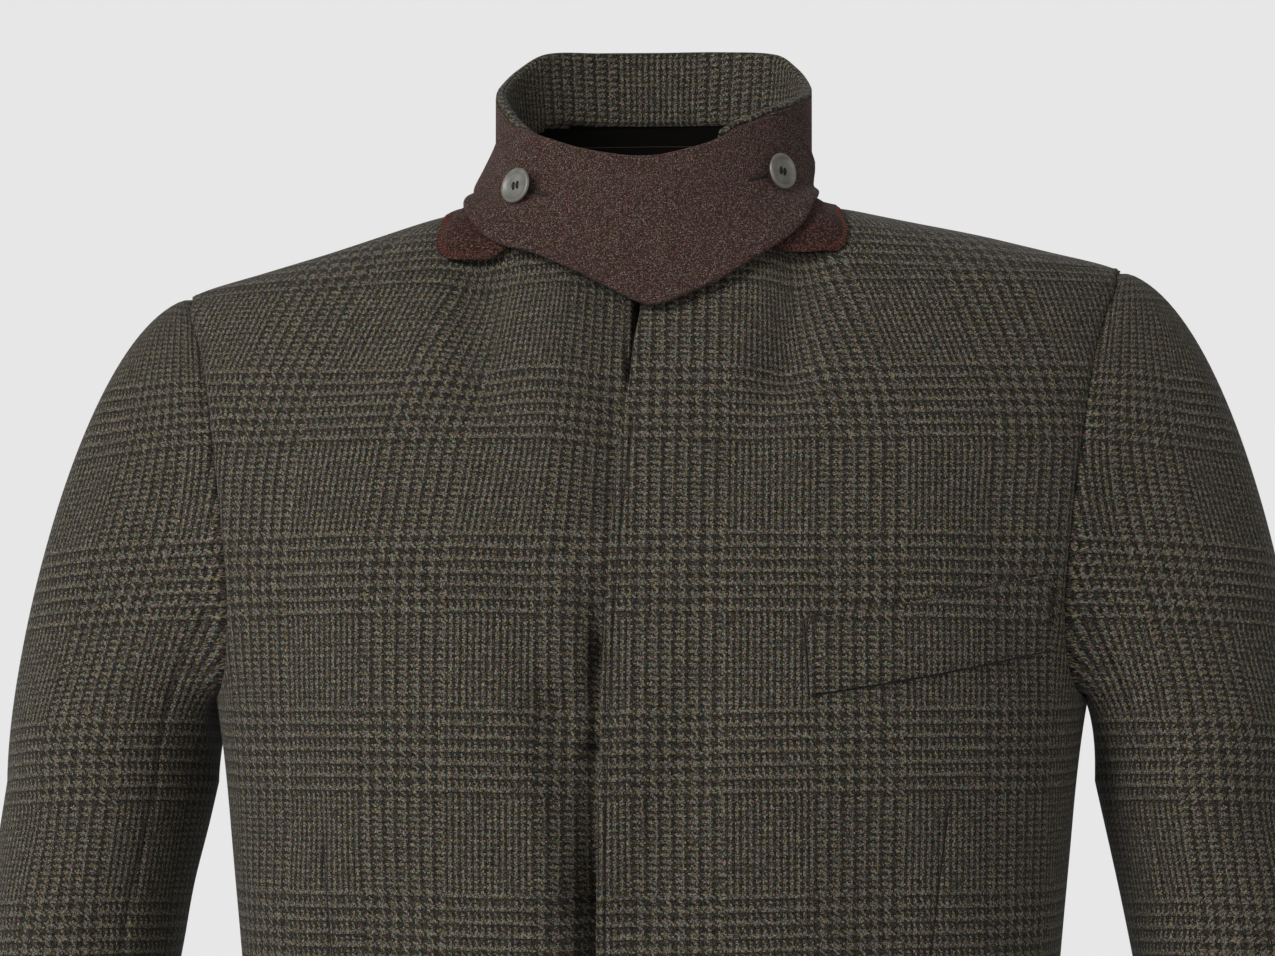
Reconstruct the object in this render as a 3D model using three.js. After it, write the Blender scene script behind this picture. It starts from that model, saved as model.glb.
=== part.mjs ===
// A man's glen-check tweed jacket as it stands on a wearer, hollow, with the collar turned up
// and a melton latch buttoned across the throat.
// Millimetres, +Z up. The wearer faces -Y and +X is the wearer's left.
// The origin is the centre of the neck opening, level with the tops of the shoulders.
import * as THREE from "three";

// ---- driving dimensions ----
const TWEED = 2.0; // wall of the jacket cloth
const MELTON = 2.0; // wall of the felted undercollar
const LATCH = 2.6; // wall of the throat latch, two layers of melton
const LATCH_LIFT = 1.0; // latch above the collar that it is buttoned over
const SEAM_GAP = 0.5; // parting of two pieces at a seam
const ARMHOLE_GAP = 0.7; // parting of a sleeve's head and the body, where the cloth turns sharply
const LAP_GAP = 1.4; // parting of the two fronts where they lap
const HEM_Z = -775;
const UNDERARM_Z = -240;
const SHOULDER_TIP_Z = -34;
const NECK_SEAM_Z = 6;
const THROAT_Z = -15; // top of the two fronts at the centre
const NECK_Y = 8; // axis of the turned-up collar
const COLLAR_HALF_WIDTH = 77.6;
const COLLAR_HALF_DEPTH = 62;
const COLLAR_POWER = 2.15;
const SHOULDER_LEAN = 4.5; // the wearer's left shoulder stands this much higher, the right one lower
const BUTTON_DIAMETER = 17.8;
const FRONT_BUTTON_DIAMETER = 20;

const DEGREE = Math.PI / 180;
const clamp = (v, lo, hi) => Math.min(hi, Math.max(lo, v));
const mix = (a, b, t) => a + (b - a) * t;
const ease = (v, from, to) => {
  const t = clamp((v - from) / (to - from), 0, 1);
  return t * t * (3 - 2 * t);
};
const vec = (x, y, z) => new THREE.Vector3(x, y, z);

// A table is a list of rows under named columns.
function table(columns, rows) {
  const names = columns.split(" ");
  return rows.map((row) => Object.fromEntries(names.map((name, i) => [name, row[i]])));
}

// Smooth reading of one column at a place along the key column, whose values rise.
function read(rows, key, column, at) {
  const last = rows.length - 1;
  const t = clamp(at, rows[0][key], rows[last][key]);
  let i = 0;
  while (i < last - 1 && rows[i + 1][key] < t) i += 1;
  const slope = (k) => {
    const a = rows[Math.max(k - 1, 0)];
    const b = rows[Math.min(k + 1, last)];
    return (b[column] - a[column]) / (b[key] - a[key]);
  };
  const span = rows[i + 1][key] - rows[i][key];
  const s = (t - rows[i][key]) / span;
  const s2 = s * s;
  const s3 = s2 * s;
  return (
    (2 * s3 - 3 * s2 + 1) * rows[i][column] +
    (s3 - 2 * s2 + s) * span * slope(i) +
    (3 * s2 - 2 * s3) * rows[i + 1][column] +
    (s3 - s2) * span * slope(i + 1)
  );
}

// ---- the body's form: level rings from below the hem up to the neck ----
const BODY_RINGS = table("z halfWidth halfDepth centreY power", [
  [-800, 217, 136, -3, 2.3],
  [-680, 208, 129, -5, 2.35],
  [-560, 201, 121.5, -9.5, 2.4],
  [-430, 196, 117.5, -13.5, 2.45],
  [-300, 206, 128, -11, 2.5],
  [-250, 212, 130, -8, 2.5],
  [-200, 222, 127, -4, 2.45],
  [-150, 234, 119.5, 0.5, 2.35],
  [-100, 243, 106, 6, 2.25],
  [-50, 245, 88, 11, 2.1],
  [-40, 240, 83.5, 12, 2.08],
  [-32, 226, 79.8, 12.3, 2.05],
  [-24, 197, 76, 12, 2.02],
  [-16, 167, 72.8, 11.3, 2],
  [-8, 136, 69.5, 10.5, 2],
  [0, 104, 65.8, 9.3, 2.05],
  [6, 77, 61.5, 8, 2.15],
  [20, 40, 36, 8, 2.2],
]);

function ringAt(z) {
  const ring = { z };
  for (const column of ["halfWidth", "halfDepth", "centreY", "power"])
    ring[column] = read(BODY_RINGS, "z", column, z);
  return ring;
}

// Angle 0 is the centre front, +90 degrees the wearer's left side, 180 the centre back.
function formPoint(angle, z) {
  const ring = ringAt(z);
  const s = Math.sin(angle);
  const c = Math.cos(angle);
  const x = ring.halfWidth * Math.sign(s) * Math.abs(s) ** (2 / ring.power);
  const y = ring.centreY - ring.halfDepth * Math.sign(c) * Math.abs(c) ** (2 / ring.power);
  const outward = ease(Math.abs(x), 80, 170) * ease(z, -220, -60);
  return vec(x, y, z + (SHOULDER_LEAN * outward * x) / 200);
}

const angleAt = (x, z) => {
  const ring = ringAt(z);
  return Math.sign(x) * Math.asin(clamp(Math.abs(x) / ring.halfWidth, 0, 1) ** (ring.power / 2));
};

// ---- folds, as soft troughs along a line seen from the front or from the back ----
const FRONT_FOLDS = table("x0 z0 x1 z1 width depth", [
  [77, -12, 70, -80, 13, 7], // beneath the left wing of the collar
  [68, -84, 52, -124, 16, 3],
  [-82, -14, -77, -92, 15, 6], // beneath the right wing
  [-50, -32, -84, -46, 12, 3],
  [-127, -78, -186, -106, 20, 3],
  [30, -245, 6, -345, 17, 4.5], // soft fall beside the left front's edge
  [172, -150, 182, -215, 20, 3.5],
  [-178, -160, -168, -300, 24, 3],
  [118, -330, 128, -520, 26, 3.5],
  [-120, -350, -132, -560, 26, 4],
  [40, -420, 150, -460, 18, 2.5],
  [-150, -400, -40, -440, 18, 2.5],
]);
const UNDERLAP_FOLDS = table("x0 z0 x1 z1 width depth", [
  [-53, -182, -38, -246, 15, 4],
  [-38, -250, -21, -335, 15, 9],
  [-19, -345, -19, -470, 15, 8],
  [-14, -52, -10, -150, 12, 5],
  [-17, -190, -13, -262, 12, 6],
]);
const BACK_FOLDS = table("x0 z0 x1 z1 width depth", [
  [168, -120, 150, -330, 24, 6],
  [-165, -110, -152, -350, 24, 5],
  [112, -150, 120, -290, 22, 3],
  [-118, -170, -112, -270, 20, 3],
  [-95, -405, 60, -425, 16, 3.5],
  [-30, -455, 110, -440, 15, 3],
  [-55, -34, 62, -36, 12, 2.5],
  [95, -560, 112, -770, 26, 5],
  [-80, -600, -100, -770, 26, 4],
]);

function troughDepth(folds, x, z) {
  let depth = 0;
  for (const fold of folds) {
    const dx = fold.x1 - fold.x0;
    const dz = fold.z1 - fold.z0;
    const along = clamp(((x - fold.x0) * dx + (z - fold.z0) * dz) / (dx * dx + dz * dz), 0, 1);
    const away = Math.hypot(x - fold.x0 - along * dx, z - fold.z0 - along * dz) / fold.width;
    depth += fold.depth * Math.exp(-away * away);
  }
  return depth;
}

const LAP_FROM_X = -46;
const LAP_FULL_X = -24;

// The right front dips under the left one and falls away beside its edge.
function underlapDepth(p) {
  const lap = (TWEED + LAP_GAP) * ease(p.x, LAP_FROM_X, LAP_FULL_X);
  return lap + troughDepth(UNDERLAP_FOLDS, p.x, p.z);
}

function surfaceNormal(pointAt, u, v, du, dv) {
  const across = pointAt(u + du, v).sub(pointAt(u - du, v));
  const up = pointAt(u, v + dv).sub(pointAt(u, v - dv));
  return across.cross(up).normalize();
}

const ANGLE_STEP = 0.4 * DEGREE;
const Z_STEP = 0.6;

// The cloth's outside: the form, pushed in where a fold lies. Fades out at the shoulder's ridge.
function clothPoint(angle, z, underlap) {
  const p = formPoint(angle, z);
  const n = surfaceNormal(formPoint, angle, z, ANGLE_STEP, Z_STEP);
  const front = Math.cos(angle);
  const folds = front > 0 ? FRONT_FOLDS : BACK_FOLDS;
  let depth = troughDepth(folds, p.x, p.z) * ease(Math.abs(front), 0, 0.35);
  if (underlap) depth += underlapDepth(p) * ease(front, 0.3, 0.7);
  return p.addScaledVector(n, -depth);
}

// ---- closed walls ----
// A wall between two grids of points with the same rows and columns.
function wallGeometry(outer, inner) {
  const rows = outer.length;
  const columns = outer[0].length;
  const positions = [];
  for (const grid of [outer, inner])
    for (const row of grid) for (const p of row) positions.push(p.x, p.y, p.z);
  const at = (layer, i, j) => (layer * rows + i) * columns + j;
  const index = [];
  const quad = (a, b, c, d) => index.push(a, b, c, a, c, d);
  for (let i = 0; i < rows - 1; i += 1)
    for (let j = 0; j < columns - 1; j += 1) {
      quad(at(0, i, j), at(0, i, j + 1), at(0, i + 1, j + 1), at(0, i + 1, j));
      quad(at(1, i, j), at(1, i + 1, j), at(1, i + 1, j + 1), at(1, i, j + 1));
    }
  const top = rows - 1;
  const end = columns - 1;
  for (let j = 0; j < end; j += 1) {
    quad(at(0, 0, j), at(1, 0, j), at(1, 0, j + 1), at(0, 0, j + 1));
    quad(at(0, top, j), at(0, top, j + 1), at(1, top, j + 1), at(1, top, j));
  }
  for (let i = 0; i < top; i += 1) {
    quad(at(0, i, 0), at(0, i + 1, 0), at(1, i + 1, 0), at(1, i, 0));
    quad(at(0, i, end), at(1, i, end), at(1, i + 1, end), at(0, i + 1, end));
  }
  if (signedVolume(positions, index) < 0)
    for (let k = 0; k < index.length; k += 3)
      [index[k + 1], index[k + 2]] = [index[k + 2], index[k + 1]];
  const geometry = new THREE.BufferGeometry();
  geometry.setAttribute("position", new THREE.Float32BufferAttribute(positions, 3));
  geometry.setIndex(index);
  geometry.computeVertexNormals();
  return geometry;
}

function signedVolume(positions, index) {
  const corner = (k) => vec(...positions.slice(index[k] * 3, index[k] * 3 + 3));
  let volume = 0;
  for (let k = 0; k < index.length; k += 3)
    volume += corner(k).dot(corner(k + 1).cross(corner(k + 2))) / 6;
  return volume;
}

// A wall on a surface: pointAt(u, v) is the surface, each grid place is [u, v],
// and the wall runs from `lift` to `lift + wall` above it.
function wallOnSurface(places, pointAt, step, lift, wall, facing = 1) {
  const grid = (height) =>
    places.map((row) =>
      row.map(([u, v]) => {
        const n = surfaceNormal(pointAt, u, v, step.u, step.v);
        return pointAt(u, v).addScaledVector(n, height * facing);
      }),
    );
  return wallGeometry(grid(lift + wall), grid(lift));
}

// ---- seam lines of the body ----
const ARMHOLE_STEPS = 10;
const ARMHOLE_FRONT = 40 * DEGREE; // how far the armhole reaches forward of the side line
const ARMHOLE_BACK = 34 * DEGREE;
const SHOULDER_ANGLE = 96 * DEGREE;
const UNDERARM_ANGLE = 92 * DEGREE;
const SIDE_SEAM_ANGLE = 100 * DEGREE;

const armholeZ = (turn) => mix(SHOULDER_TIP_Z, UNDERARM_Z, (1 - Math.cos(turn)) / 2);
const armholeTurn = (z) =>
  Math.acos(clamp(1 - (2 * (z - SHOULDER_TIP_Z)) / (UNDERARM_Z - SHOULDER_TIP_Z), -1, 1));
const armholeReach = (turn) => Math.max(Math.sin(turn), 0) ** 0.45 * (1 - (0.3 * turn) / Math.PI);

function sideAngle(z) {
  if (z >= SHOULDER_TIP_Z) return SHOULDER_ANGLE;
  if (z >= UNDERARM_Z) {
    const down = (SHOULDER_TIP_Z - z) / (SHOULDER_TIP_Z - UNDERARM_Z);
    return mix(SHOULDER_ANGLE, UNDERARM_ANGLE, down);
  }
  return mix(UNDERARM_ANGLE, SIDE_SEAM_ANGLE, ease(-z, -UNDERARM_Z, 420));
}

// How far the left front's edge passes the centre, and past the last button how it is cut away.
const FRONT_EDGE = table("z x", [
  [HEM_Z, 92],
  [-768, 66],
  [-755, 46],
  [-735, 27],
  [-705, 7],
  [-665, -9],
  [-615, -18],
  [-540, -19],
  [-363, -17.2],
  [-290, -16],
  [-195, -13],
  [-120, -8.5],
  [-75, -4.8],
  [-48, -3.2],
  [THROAT_Z, -1],
]);
const NECKLINE = table("z angle", [
  [THROAT_Z, -0.6],
  [-8, 12],
  [-1, 22],
  [NECK_SEAM_Z, 32],
]);

function frontEdgeAngle(z) {
  if (z > THROAT_Z) return read(NECKLINE, "z", "angle", z) * DEGREE;
  return angleAt(read(FRONT_EDGE, "z", "x", z), z);
}

const HEM_ROWS = [HEM_Z, -769, -757, -738, -708, -668, -618];
const SKIRT_ROWS = [-585, -550, -515, -480, -445, -410, -380, -352, -325, -298, -272];
const ARMHOLE_ROWS = Array.from({ length: ARMHOLE_STEPS + 1 }, (_, i) =>
  armholeZ((Math.PI * (ARMHOLE_STEPS - i)) / ARMHOLE_STEPS),
);
const SHOULDER_ROWS = [-24, THROAT_Z, -8, -1, NECK_SEAM_Z];
const BODY_ROWS = [...HEM_ROWS, ...SKIRT_ROWS, ...ARMHOLE_ROWS, ...SHOULDER_ROWS];
const FRONT_COLUMNS = 13;
const BACK_COLUMNS = 10;

// Half a seam's gap as an angle, at the ring's width there.
const gapAngle = (z) => SEAM_GAP / 2 / ringAt(z).halfDepth;

function armholeAngle(front, z) {
  if (z >= SHOULDER_TIP_Z || z <= UNDERARM_Z) return sideAngle(z);
  const reach = armholeReach(armholeTurn(z));
  return sideAngle(z) + (front ? -ARMHOLE_FRONT : ARMHOLE_BACK) * reach;
}

const spread = (count, bend) => Array.from({ length: count + 1 }, (_, j) => (j / count) ** bend);

// side is +1 for the wearer's left and -1 for the right.
function frontPanel(side) {
  const places = BODY_ROWS.map((z) => {
    const edge = frontEdgeAngle(z);
    const seam = armholeAngle(true, z) - gapAngle(z);
    return spread(FRONT_COLUMNS, 1.12).map((t) => [side * mix(edge, seam, t), z]);
  });
  const pointAt = (angle, z) => clothPoint(angle, z, side < 0);
  return wallOnSurface(places, pointAt, { u: ANGLE_STEP, v: Z_STEP }, -TWEED, TWEED);
}

function backPanel(side) {
  const places = BODY_ROWS.map((z) => {
    const seam = armholeAngle(false, z) + gapAngle(z);
    const centre = Math.PI - gapAngle(z);
    return spread(BACK_COLUMNS, 1).map((t) => [side * mix(seam, centre, t), z]);
  });
  const pointAt = (angle, z) => clothPoint(angle, z, false);
  return wallOnSurface(places, pointAt, { u: ANGLE_STEP, v: Z_STEP }, -TWEED, TWEED);
}

// ---- sleeves: two pieces each, from the armhole down to an open cuff ----
const SLEEVE_RINGS = table("z x y halfWidth halfDepth", [
  [-280, 269, 8, 52, 69],
  [-340, 280, 6, 50, 66],
  [-395, 289, 6, 48.5, 62],
  [-430, 294, 7, 47.5, 60],
  [-462, 297, 6, 47, 58.5],
  [-500, 300, 1, 46, 57],
  [-560, 303, -10, 44, 54],
  [-625, 305, -24, 42, 50.5],
  [-690, 306, -38, 40.5, 48],
]);
const CAP_STEPS = [0.06, 0.16, 0.3, 0.46, 0.64, 0.82];
const SLEEVE_COLUMNS = 2 * ARMHOLE_STEPS;
const FRONT_SEAM_COLUMN = 7; // counted forward from the shoulder tip
const HIND_SEAM_COLUMN = -3;
const SLEEVE_FOLDS = table("turn0 z0 turn1 z1 width depth", [
  [40, -405, 120, -432, 15, 4.5],
  [30, -452, 115, -468, 14, 5],
  [55, -500, 110, -492, 14, 3],
  [-150, -330, -70, -352, 18, 3],
  [60, -300, 110, -345, 20, 3.5],
  [-110, -120, -60, -210, 26, 4],
  [100, -130, 70, -220, 24, 4],
  [-60, -560, -110, -600, 20, 3],
]);
const ARMHOLE_CENTRE = vec(228, 2, -140);

const SLEEVE_WRAP = 52; // mean radius that turns a sleeve's angle to millimetres in the fold table

function sleeveTrough(turn, z) {
  const folds = SLEEVE_FOLDS.map((f) => ({
    x0: f.turn0 * DEGREE * SLEEVE_WRAP,
    x1: f.turn1 * DEGREE * SLEEVE_WRAP,
    z0: f.z0,
    z1: f.z1,
    width: f.width,
    depth: f.depth,
  }));
  return troughDepth(folds, turn * SLEEVE_WRAP, z);
}

// turn 0 is the outside of the arm, positive forward, 180 degrees against the body.
function armRing(side, ring, turn) {
  const x = ring.x + ring.halfWidth * Math.cos(turn);
  const y = ring.y - ring.halfDepth * Math.sin(turn);
  return vec(side * x, y, ring.z);
}

function sleeveGrid(side) {
  const turns = Array.from(
    { length: SLEEVE_COLUMNS },
    (_, k) => ((k <= ARMHOLE_STEPS ? k : k - SLEEVE_COLUMNS) * Math.PI) / ARMHOLE_STEPS,
  );
  const centre = ARMHOLE_CENTRE.clone().setX(side * ARMHOLE_CENTRE.x);
  const seams = turns.map((turn) => {
    const z = armholeZ(Math.abs(turn));
    const angle = side * armholeAngle(turn >= 0, z);
    const p = clothPoint(angle, z, false);
    const pointAt = (u, v) => clothPoint(u, v, false);
    const n = surfaceNormal(pointAt, angle, z, ANGLE_STEP, Z_STEP);
    const inward = centre.clone().sub(p);
    inward.addScaledVector(n, -inward.dot(n)).normalize();
    return { start: p.addScaledVector(inward, ARMHOLE_GAP), n, inward };
  });
  const first = SLEEVE_RINGS[0];
  const rings = [seams.map((s) => s.start.clone())];
  for (const t of CAP_STEPS)
    rings.push(
      turns.map((turn, k) => {
        const a = seams[k].start;
        const b = armRing(side, first, turn);
        const span = a.distanceTo(b);
        const outside = vec(side, 0, -0.12);
        const leave = seams[k].inward.clone().multiplyScalar(0.5).add(outside).normalize();
        const low = ease(Math.abs(turn), 2.2, Math.PI);
        const t2 = t * t;
        const t3 = t2 * t;
        const p = a.clone().multiplyScalar(2 * t3 - 3 * t2 + 1);
        p.addScaledVector(leave, (t3 - 2 * t2 + t) * span * mix(0.62, 0.45, low));
        p.addScaledVector(b, 3 * t2 - 2 * t3);
        return p.addScaledVector(vec(0, 0, -1), (t3 - t2) * span * mix(0.8, 0.6, low));
      }),
    );
  for (const ring of SLEEVE_RINGS) rings.push(turns.map((turn) => armRing(side, ring, turn)));
  const count = turns.length;
  const normalAt = (i, k) => {
    const next = rings[i][(k + 1) % count];
    const before = rings[i][(k - 1 + count) % count];
    const below = rings[Math.min(i + 1, rings.length - 1)][k];
    const above = rings[i - 1][k];
    return next.clone().sub(before).cross(above.clone().sub(below)).normalize();
  };
  const normals = rings.map((ring, i) =>
    ring.map((_, k) => (i === 0 ? seams[k].n : normalAt(i, k).multiplyScalar(-side))),
  );
  const moved = rings.map((ring, i) =>
    ring.map((p, k) => {
      const fade = ease(i, 0, 3);
      return p.clone().addScaledVector(normals[i][k], -fade * sleeveTrough(turns[k], p.z));
    }),
  );
  return { rings: moved, normals, count };
}

// One piece of a sleeve between two of its columns, parted from its neighbour by half a gap.
function sleevePiece(sleeve, from, to) {
  const { rings, normals, count } = sleeve;
  const wrap = (k) => ((k % count) + count) % count;
  const columns = Array.from({ length: to - from + 1 }, (_, i) => from + i);
  const layer = (depth) =>
    rings.map((ring, i) =>
      columns.map((k) => {
        const p = ring[wrap(k)].clone().addScaledVector(normals[i][wrap(k)], -depth);
        const step = k === from ? 1 : k === to ? -1 : 0;
        if (step === 0) return p;
        const aside = ring[wrap(k + step)].clone().sub(ring[wrap(k)]).normalize();
        return p.addScaledVector(aside, SEAM_GAP / 2);
      }),
    );
  return wallGeometry(layer(0), layer(TWEED));
}

// ---- the turned-up collar ----
// Radius of the body's form about the collar's axis, in the direction `angle`.
function bodyRadius(angle, z) {
  const ring = ringAt(z);
  let low = 5;
  let high = 320;
  for (let i = 0; i < 40; i += 1) {
    const r = (low + high) / 2;
    const x = r * Math.sin(angle);
    const y = NECK_Y - r * Math.cos(angle) - ring.centreY;
    const reach =
      Math.abs(x / ring.halfWidth) ** ring.power + Math.abs(y / ring.halfDepth) ** ring.power;
    if (reach < 1) low = r;
    else high = r;
  }
  return (low + high) / 2;
}

// The same for the form grown outward by `clear` along its own normal.
function clearRadius(angle, z, clear) {
  let foot = z;
  let slope = 0;
  for (let i = 0; i < 12; i += 1) {
    slope = bodyRadius(angle, foot + Z_STEP / 2) - bodyRadius(angle, foot - Z_STEP / 2);
    slope /= Z_STEP;
    foot = mix(foot, z + (clear * slope) / Math.hypot(1, slope), 0.6);
  }
  return bodyRadius(angle, foot) + clear / Math.hypot(1, slope);
}

function tubeRadius(angle) {
  const s = Math.abs(Math.sin(angle)) / COLLAR_HALF_WIDTH;
  const c = Math.abs(Math.cos(angle)) / COLLAR_HALF_DEPTH;
  return (s ** COLLAR_POWER + c ** COLLAR_POWER) ** (-1 / COLLAR_POWER);
}

const WING_CLEAR = 3.1; // outside of the collar above the body cloth
const FLARE_FRONT = 12;
const FLARE_BACK = 4;

// Outside of the undercollar: a standing tube that turns outward onto the shoulders.
function collarPoint(angle, z) {
  const tube = tubeRadius(angle);
  const body = clearRadius(angle, z, WING_CLEAR);
  const soft = mix(FLARE_FRONT, FLARE_BACK, ease(Math.abs(angle), 80 * DEGREE, 130 * DEGREE));
  const r = (tube + body + Math.hypot(tube - body, soft)) / 2;
  return vec(r * Math.sin(angle), NECK_Y - r * Math.cos(angle), z);
}

// The rim round the neck: the left front end, round the back, to the right front end.
const COLLAR_RIM = table("angle z", [
  [34, 37],
  [40, 41.5],
  [46, 44],
  [53, 48],
  [59, 50.5],
  [64, 52.5],
  [73, 56.5],
  [86, 61],
  [100, 68],
  [113, 77.6],
  [124, 85],
  [150, 88.5],
  [180, 89],
  [210, 88.5],
  [234, 86.5],
  [248, 77.5],
  [260, 69],
  [270, 63.5],
  [283, 56.5],
  [291, 50.5],
  [297, 45],
  [302, 41],
  [308, 36.5],
  [313, 34],
  [317, 32.5],
  [322, 30.5],
  [326, 29],
]);
// The lower edge the same way round. Near both ends it drops as a blunt wing on the shoulder.
const COLLAR_BASE = table("angle z", [
  [34, -16],
  [40, -19],
  [44, -23.3],
  [48, -24.5],
  [53, -23.7],
  [55.5, -22],
  [57.4, -19],
  [59, -14.5],
  [60.5, -10],
  [62.6, -5.5],
  [64.5, -1.5],
  [68, 1.5],
  [76, 3.2],
  [90, 4],
  [113, 3.5],
  [124, 3],
  [234, 3],
  [248, 3.5],
  [270, 4],
  [283, 3.2],
  [289, 2],
  [293, 0],
  [296, -5],
  [298, -10],
  [299.5, -14.5],
  [302, -20],
  [305, -24.5],
  [309, -25.8],
  [313, -25.3],
  [315.5, -20.5],
  [318, -17],
  [326, -16],
]);
const COLLAR_START = 34;
const COLLAR_END = 326;
const WING_DEGREES = 36; // stretch at each end where the columns are close together
const WING_STEPS = 12;
const NAPE_STEPS = 24;
const FLARE_HEIGHTS = [6, 9.5, 14, 19]; // levels close together where the collar turns outward
const ROLL_HEIGHT = 3; // tweed that shows above the melton at the rim

const between = (from, to, count) =>
  Array.from({ length: count }, (_, i) => mix(from, to, i / count));
const collarAngles = [
  ...between(COLLAR_START, COLLAR_START + WING_DEGREES, WING_STEPS),
  ...between(COLLAR_START + WING_DEGREES, COLLAR_END - WING_DEGREES, NAPE_STEPS),
  ...between(COLLAR_END - WING_DEGREES, COLLAR_END, WING_STEPS),
  COLLAR_END,
];
const signedTurn = (degrees) => (degrees > 180 ? degrees - 360 : degrees) * DEGREE;
const rimAt = (degrees) => read(COLLAR_RIM, "angle", "z", degrees);

function undercollar() {
  const places = collarAngles.map((degrees) => {
    const base = read(COLLAR_BASE, "angle", "z", degrees);
    const top = rimAt(degrees) - ROLL_HEIGHT - 2 * SEAM_GAP;
    const wing = [0, 0.33, 0.67].map((t) => mix(base, FLARE_HEIGHTS[0], t));
    const high = mix(FLARE_HEIGHTS[FLARE_HEIGHTS.length - 1], top, 0.5);
    const heights = [...wing, ...FLARE_HEIGHTS, high, top];
    return heights.map((z) => [signedTurn(degrees), z]);
  });
  return wallOnSurface(places, collarPoint, { u: 0.01, v: 0.5 }, -MELTON, MELTON);
}

// Profile of the top collar, inside and over the rim: `out` from the melton's outside,
// `down` from the rim, for the side against the melton and for the side against the neck.
const ROLL_PROFILE = table("outA downA outB downB", [
  [-2.6, 14, -4.6, 14],
  [-2.6, 3, -4.6, 4.2],
  [0.3, 3, -4.4, 2.8],
  [0.6, 1.3, -4.1, 1.3],
  [-0.6, 0, -2.8, 0],
]);
const NECK_FOOT = 1; // foot of the top collar above the body's neck seam
const FOOT_ROWS = [1, 0.6, 0.25];

function topCollar() {
  const ringPoint = (degrees, z, out) => {
    const angle = signedTurn(degrees);
    const r = tubeRadius(angle) + out;
    return vec(r * Math.sin(angle), NECK_Y - r * Math.cos(angle), z);
  };
  const grid = (out, down) =>
    collarAngles.map((degrees) => {
      const rim = rimAt(degrees);
      const foot = NECK_SEAM_Z + NECK_FOOT;
      const top = rim - ROLL_PROFILE[0][down];
      const wall = FOOT_ROWS.map((t) => ringPoint(degrees, mix(top, foot, t), ROLL_PROFILE[0][out]));
      const roll = ROLL_PROFILE.map((row) => ringPoint(degrees, rim - row[down], row[out]));
      return [...wall, ...roll];
    });
  return wallGeometry(grid("outA", "downA"), grid("outB", "downB"));
}

// ---- the throat latch: a stiff pointed band with rounded ends ----
const LATCH_TOP = table("angle z", [
  [-82, 20.5],
  [-79, 23.5],
  [-75, 27],
  [-71, 32],
  [-67, 36.5],
  [-62.6, 39.5],
  [-58, 39.6],
  [-42, 32.5],
  [-27, 26.5],
  [-10.5, 22.8],
  [-2, 22.3],
  [6.5, 22.8],
  [23, 27.5],
  [31, 31.5],
  [39, 36.5],
  [47, 41],
  [53.6, 43.3],
  [60, 43],
  [64.3, 39],
  [69.4, 34],
  [74, 30],
  [78, 24.5],
]);
const LATCH_BASE = table("angle z", [
  [-82, 17],
  [-79, 13.5],
  [-75, 9.8],
  [-65, 2.3],
  [-60.5, -2],
  [-56, -7],
  [-52.5, -11.5],
  [-49, -16],
  [-45.6, -19.5],
  [-42, -21.8],
  [-37.6, -23.5],
  [-27, -30.5],
  [-16.6, -38],
  [-6.5, -46],
  [0, -51],
  [3, -52],
  [7, -50.5],
  [14.8, -45.5],
  [23.9, -39],
  [37.4, -25.5],
  [44, -18.5],
  [50, -10.5],
  [57.2, 0],
  [62, 4],
  [68, 7.5],
  [73, 11.5],
  [78, 20.5],
]);
// Below `start` the band stands away from the collar, outward by `slope` as it goes down.
const LATCH_STAND = table("angle start slope", [
  [-95, 27, 0.55],
  [-80, 28, 0.55],
  [-66, 33, 0.45],
  [-50, 38, 0.36],
  [-30, 30, 0.3],
  [0, 22, 0.3],
  [30, 32, 0.3],
  [50, 41, 0.3],
  [64, 41, 0.2],
  [76, 30, 0.06],
  [95, 25, 0],
]);
const LATCH_BEND = 2; // softness of the line where it meets the collar's wings
const LATCH_STEPS = 40;
const LATCH_ROWS = spread(8, 1);

// The latch's inside: on the collar, or standing off it where that turns outward below.
function latchPoint(angle, z) {
  const degrees = angle / DEGREE;
  const radius = (p) => Math.hypot(p.x, p.y - NECK_Y);
  const slope = radius(collarPoint(angle, z + 0.5)) - radius(collarPoint(angle, z - 0.5));
  const laid = radius(collarPoint(angle, z)) + LATCH_LIFT * Math.hypot(1, slope);
  const below = Math.max(read(LATCH_STAND, "angle", "start", degrees) - z, 0);
  const standing = read(LATCH_STAND, "angle", "slope", degrees) * below;
  const stiff = tubeRadius(angle) + LATCH_LIFT + standing;
  const r = (laid + stiff + Math.hypot(laid - stiff, LATCH_BEND)) / 2;
  return vec(r * Math.sin(angle), NECK_Y - r * Math.cos(angle), z);
}

function throatLatch() {
  const first = LATCH_TOP[0].angle;
  const last = LATCH_TOP[LATCH_TOP.length - 1].angle;
  const places = Array.from({ length: LATCH_STEPS + 1 }, (_, i) => {
    const degrees = mix(first, last, i / LATCH_STEPS);
    const base = read(LATCH_BASE, "angle", "z", degrees);
    const top = read(LATCH_TOP, "angle", "z", degrees);
    return LATCH_ROWS.map((t) => [degrees * DEGREE, mix(base, top, t)]);
  });
  return wallOnSurface(places, latchPoint, { u: 0.01, v: 0.5 }, 0, LATCH);
}

// ---- the breast pocket's welt, on the left front ----
const WELT = { x0: 83, x1: 197, height: 35, z: -240, rise: 0.165, slant: -2.5, wall: 1.6, lift: 0.7 };
const WELT_COLUMNS = 9;
const WELT_ROWS = 3;

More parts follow.
